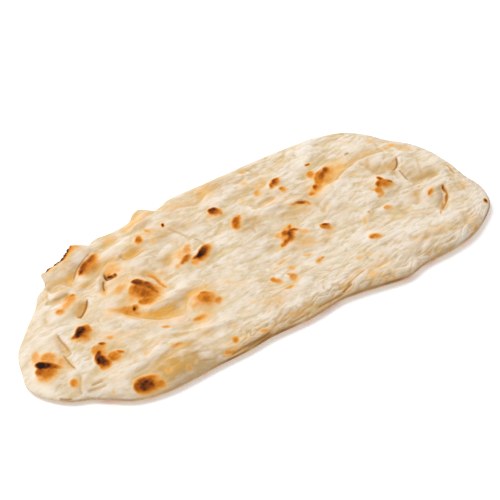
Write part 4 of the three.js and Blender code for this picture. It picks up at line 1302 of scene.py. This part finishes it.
def make_bread():
    place = places(CELLS_ALONG, CELLS_ACROSS)
    bite_teeth(place)
    x, y = place["x"], place["y"]
    marks = upper_marks(place)
    upper = marks.pop("height")
    lower = lower_skin(place)

    columns, rows = np.meshgrid(range(CELLS_ALONG + 1), range(CELLS_ACROSS + 1), indexing="ij")
    on_edge = (columns % CELLS_ALONG == 0) | (rows % CELLS_ACROSS == 0)
    kept = ~on_edge & (columns % LOWER_STRIDE == 0) & (rows % LOWER_STRIDE == 0)
    upper_index = np.arange(x.size).reshape(x.shape)
    lower_index = np.full(x.shape, -1)
    lower_index[on_edge] = upper_index[on_edge]
    lower_index[kept] = x.size + np.arange(kept.sum())

    middle_x, middle_y = box_middle()
    top = np.stack([x - middle_x, y - middle_y, upper], -1).reshape(-1, 3)
    under = np.stack([x - middle_x, y - middle_y, lower], -1)[kept]
    vertices = np.vstack([top, under]) * MM
    faces = grid_faces(upper_index, CELLS_ALONG, CELLS_ACROSS).tolist() + lower_faces(lower_index)

    mesh = bpy.data.meshes.new("pinsa_bread")
    mesh.from_pydata(vertices.tolist(), [], faces)
    mesh.update()
    mesh.polygons.foreach_set("use_smooth", [True] * len(mesh.polygons))
    below = under_marks(x[kept], y[kept])
    for name, on_top in marks.items():
        values = np.concatenate([on_top.ravel(), np.broadcast_to(below[name], kept.sum())])
        attribute = mesh.attributes.new(name, "FLOAT", "POINT")
        attribute.data.foreach_set("value", values.astype(np.float32))
    bread = bpy.data.objects.new("pinsa_bread", mesh)
    bpy.context.scene.collection.objects.link(bread)
    return bread


# ---- The material ----

def new_material(name):
    material = bpy.data.materials.new(name)
    material.use_nodes = True
    nodes = material.node_tree.nodes
    nodes.clear()
    output = nodes.new("ShaderNodeOutputMaterial")
    shader = nodes.new("ShaderNodeBsdfPrincipled")
    material.node_tree.links.new(shader.outputs["BSDF"], output.inputs["Surface"])
    return material, shader


def srgb(red, green, blue):
    """A colour given as 0 to 255 values of a picture, as the linear one that a shader takes."""
    def linear(value):
        value /= 255
        return value / 12.92 if value <= 0.04045 else ((value + 0.055) / 1.055) ** 2.4
    return linear(red), linear(green), linear(blue), 1.0


class Nodes:
    """Short names for the few nodes that the crust is made of."""

    def __init__(self, material):
        self.tree = material.node_tree

    def link(self, start, end):
        if isinstance(start, (int, float, tuple)):
            end.default_value = start
        else:
            self.tree.links.new(start, end)

    def field(self, name):
        node = self.tree.nodes.new("ShaderNodeAttribute")
        node.attribute_name = name
        return node.outputs["Fac"]

    def grain(self, size, detail=3.0, roughness=0.55, stretch=EVEN, seed=0):
        """Noise from 0 to 1, whose grains are about `size` metres before they are stretched."""
        source = self.tree.nodes.new("ShaderNodeTexCoord")
        mapping = self.tree.nodes.new("ShaderNodeMapping")
        node = self.tree.nodes.new("ShaderNodeTexNoise")
        mapping.inputs["Location"].default_value = (seed, 0, 0)
        mapping.inputs["Scale"].default_value = stretch
        node.inputs["Scale"].default_value = 1 / size
        node.inputs["Detail"].default_value = detail
        node.inputs["Roughness"].default_value = roughness
        self.tree.links.new(source.outputs["Object"], mapping.inputs["Vector"])
        self.tree.links.new(mapping.outputs["Vector"], node.inputs["Vector"])
        return node.outputs["Fac"]

    def math(self, operation, first, second=0.0, clamp=False):
        node = self.tree.nodes.new("ShaderNodeMath")
        node.operation = operation
        node.use_clamp = clamp
        self.link(first, node.inputs[0])
        self.link(second, node.inputs[1])
        return node.outputs[0]

    def remap(self, value, low, high, to_low=0.0, to_high=1.0):
        node = self.tree.nodes.new("ShaderNodeMapRange")
        node.interpolation_type = "SMOOTHSTEP"
        self.link(value, node.inputs["Value"])
        node.inputs["From Min"].default_value = low
        node.inputs["From Max"].default_value = high
        node.inputs["To Min"].default_value = to_low
        node.inputs["To Max"].default_value = to_high
        return node.outputs["Result"]

    def blend(self, share, first, second):
        node = self.tree.nodes.new("ShaderNodeMix")
        node.data_type = "RGBA"
        self.link(share, node.inputs["Factor"])
        self.link(first, node.inputs["A"])
        self.link(second, node.inputs["B"])
        return node.outputs["Result"]

    def ramp(self, value, stops):
        node = self.tree.nodes.new("ShaderNodeValToRGB")
        ramp = node.color_ramp
        while len(ramp.elements) < len(stops):
            ramp.elements.new(0.5)
        for element, (position, colour) in zip(ramp.elements, stops):
            element.position = position
            element.color = srgb(*colour)
        self.link(value, node.inputs["Fac"])
        return node.outputs["Color"]

    def bump(self, height, distance, strength=1.0):
        node = self.tree.nodes.new("ShaderNodeBump")
        node.inputs["Distance"].default_value = distance
        node.inputs["Strength"].default_value = strength
        self.link(height, node.inputs["Height"])
        return node.outputs["Normal"]


def fine_lines(n, size, stretch, seed, width):
    """1 on thin wandering lines, along which the dough is wrinkled, and 0 between them."""
    grain = n.grain(size, 2.0, stretch=stretch, seed=seed)
    return n.remap(n.math("ABSOLUTE", n.math("SUBTRACT", grain, 0.5)), 0.0, width, 1.0, 0.0)


def wrinkled(n):
    """The thin lines of the wrinkles, which come and go over the bread."""
    lines = n.math("MAXIMUM", *(fine_lines(n, *line) for line in FINE_LINES))
    return n.math("MULTIPLY", lines, n.remap(n.grain(LINES_GRAIN, 2.0, seed=9), *LINES_RANGE))


def dough_colour(n, lines):
    """Pale dough: floury where high, with painted shade, golden, in hollows and on front slopes."""
    coarse = n.math("SUBTRACT", n.grain(COARSE_GRAIN, stretch=LONG), 0.5)
    fine = n.math("SUBTRACT", n.grain(FINE_GRAIN, stretch=OBLONG), 0.5)
    # painted shade: hollows are darker, highs paler
    level = n.math("ADD", n.field("level"), n.math("MULTIPLY", coarse, COARSE_SHARE))
    level = n.math("ADD", level, n.math("MULTIPLY", fine, FINE_SHARE))
    dough = n.blend(n.remap(level, *LEVEL_RANGE), srgb(*LOW_DOUGH), srgb(*HIGH_DOUGH))
    for size, stretch, seed, spread, colour in MOTTLES:
        mottle = n.remap(n.grain(size, stretch=stretch, seed=seed), *spread)
        dough = n.blend(mottle, dough, srgb(*colour))
    # The wrinkles' thin lines are painted darker, as painted shade in their grooves.
    dough = n.blend(n.math("MULTIPLY", lines, LINE_SHADE_SHARE), dough, srgb(*WRINKLE_SHADE_COLOUR))
    # painted shade on slopes to the front, turned from the light
    away = n.math("ADD", n.field("away"), n.math("MULTIPLY", fine, SLOPE_SHADE_GRAIN_SHARE))
    dough = n.blend(n.remap(away, *SLOPE_SHADE_RANGE), dough, srgb(*SLOPE_SHADE_COLOUR))
    uneven = n.remap(n.grain(PATCH_GRAIN, stretch=OBLONG, seed=4), *PATCH_RANGE)
    for name, colour in (("tan_and_shade", TAN_AND_SHADE_COLOUR), ("ochre", OCHRE_COLOUR)):
        share = n.math("MULTIPLY", n.field(name), uneven, clamp=True)
        dough = n.blend(share, dough, srgb(*colour))
    # Flour, painted highlights on lips and painted light on shaded places make the dough paler.
    return n.blend(n.remap(n.field("flour_and_highlight"), *FLOUR_AND_HIGHLIGHT_RANGE), dough, srgb(*FLOUR_AND_HIGHLIGHT_COLOUR))


def crust_material():
    material, shader = new_material("crust")
    n = Nodes(material)
    lines = wrinkled(n)
    speckle = n.remap(n.grain(SPECKLE_GRAIN, 2.0, seed=5), *SPECKLE_RANGE)
    toast = n.math("MULTIPLY", n.field("toast"), speckle)
    toasted = n.ramp(toast, TOAST_COLOURS)
    colour = n.blend(n.remap(toast, 0.0, TOAST_COVER), dough_colour(n, lines), toasted)
    # Painted shade in creases and grooves, with a few real dark specks, darkens the colour.
    dark_and_shade = n.field("dark_and_shade")
    darkness = n.ramp(n.math("MULTIPLY", dark_and_shade, DARK_AND_SHADE_SHARE), DARK_AND_SHADE_COLOURS)
    colour = n.blend(n.remap(dark_and_shade, *DARK_AND_SHADE_RANGE), colour, darkness)
    n.link(colour, shader.inputs["Base Color"])
    shader.inputs["Roughness"].default_value = 0.85
    shader.inputs["Specular IOR Level"].default_value = 0.12
    shader.inputs["Subsurface Weight"].default_value = 0.1
    shader.inputs["Subsurface Radius"].default_value = (0.0022, 0.0012, 0.0006)
    shader.inputs["Subsurface Scale"].default_value = 1.0
    pores = n.grain(PORE_GRAIN, detail=4.0, roughness=0.6, stretch=OBLONG)
    height = n.math("SUBTRACT", pores, n.math("MULTIPLY", lines, LINE_DEPTH))
    n.link(n.bump(height, BUMP_HEIGHT, BUMP_STRENGTH), shader.inputs["Normal"])
    return material


def floor_material():
    material, shader = new_material("pale_floor")
    shader.inputs["Base Color"].default_value = (0.9, 0.9, 0.91, 1.0)
    shader.inputs["Roughness"].default_value = 0.6
    shader.inputs["Specular IOR Level"].default_value = 0.0
    shader.inputs["Emission Color"].default_value = (1.0, 1.0, 1.0, 1.0)
    shader.inputs["Emission Strength"].default_value = FLOOR_GLOW
    return material


# ---- The studio ----

def put(data, towards, aim, distance):
    """Places a camera or a light at a distance from its aim, looking at it."""
    thing = bpy.data.objects.new(data.name, data)
    thing.location = aim + towards * distance
    thing.rotation_mode = "QUATERNION"
    thing.rotation_quaternion = (-towards).to_track_quat("-Z", "Y")
    bpy.context.scene.collection.objects.link(thing)
    return thing


def make_floor():
    half = FLOOR_HALF_WIDTH
    mesh = bpy.data.meshes.new("floor")
    corners = [(-half, -half, 0), (half, -half, 0), (half, half, 0), (-half, half, 0)]
    mesh.from_pydata(corners, [], [(0, 1, 2, 3)])
    floor = bpy.data.objects.new("floor", mesh)
    bpy.context.scene.collection.objects.link(floor)
    mesh.materials.append(floor_material())


def make_camera():
    data = bpy.data.cameras.new("camera")
    data.sensor_width = SENSOR_WIDTH
    data.lens = SENSOR_WIDTH * CAMERA_DISTANCE / VIEW_WIDTH
    data.clip_end = 20.0
    middle = box_middle()
    aim = Vector((CAMERA_AIM[0] - middle[0], CAMERA_AIM[1] - middle[1], CAMERA_AIM[2])) * MM
    towards = direction(CAMERA_AZIMUTH, CAMERA_ELEVATION)
    bpy.context.scene.camera = put(data, towards, aim, CAMERA_DISTANCE)


def make_key_light():
    data = bpy.data.lights.new("key", "AREA")
    data.shape = "DISK"
    data.size = KEY_SIZE
    data.energy = KEY_POWER
    put(data, direction(KEY_AZIMUTH, KEY_ELEVATION), Vector((0, 0, 0)), KEY_DISTANCE)


def make_studio():
    world = bpy.data.worlds.new("studio")
    world.use_nodes = True
    background = world.node_tree.nodes["Background"]
    background.inputs["Color"].default_value = (1.0, 1.0, 1.0, 1.0)
    background.inputs["Strength"].default_value = WORLD_LIGHT
    bpy.context.scene.world = world
    make_key_light()
    bpy.context.scene.view_settings.view_transform = "Standard"


make_camera()
make_floor()
make_studio()
bread = make_bread()
bread.data.materials.append(crust_material())
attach(bread, "root")
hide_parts(NODE)
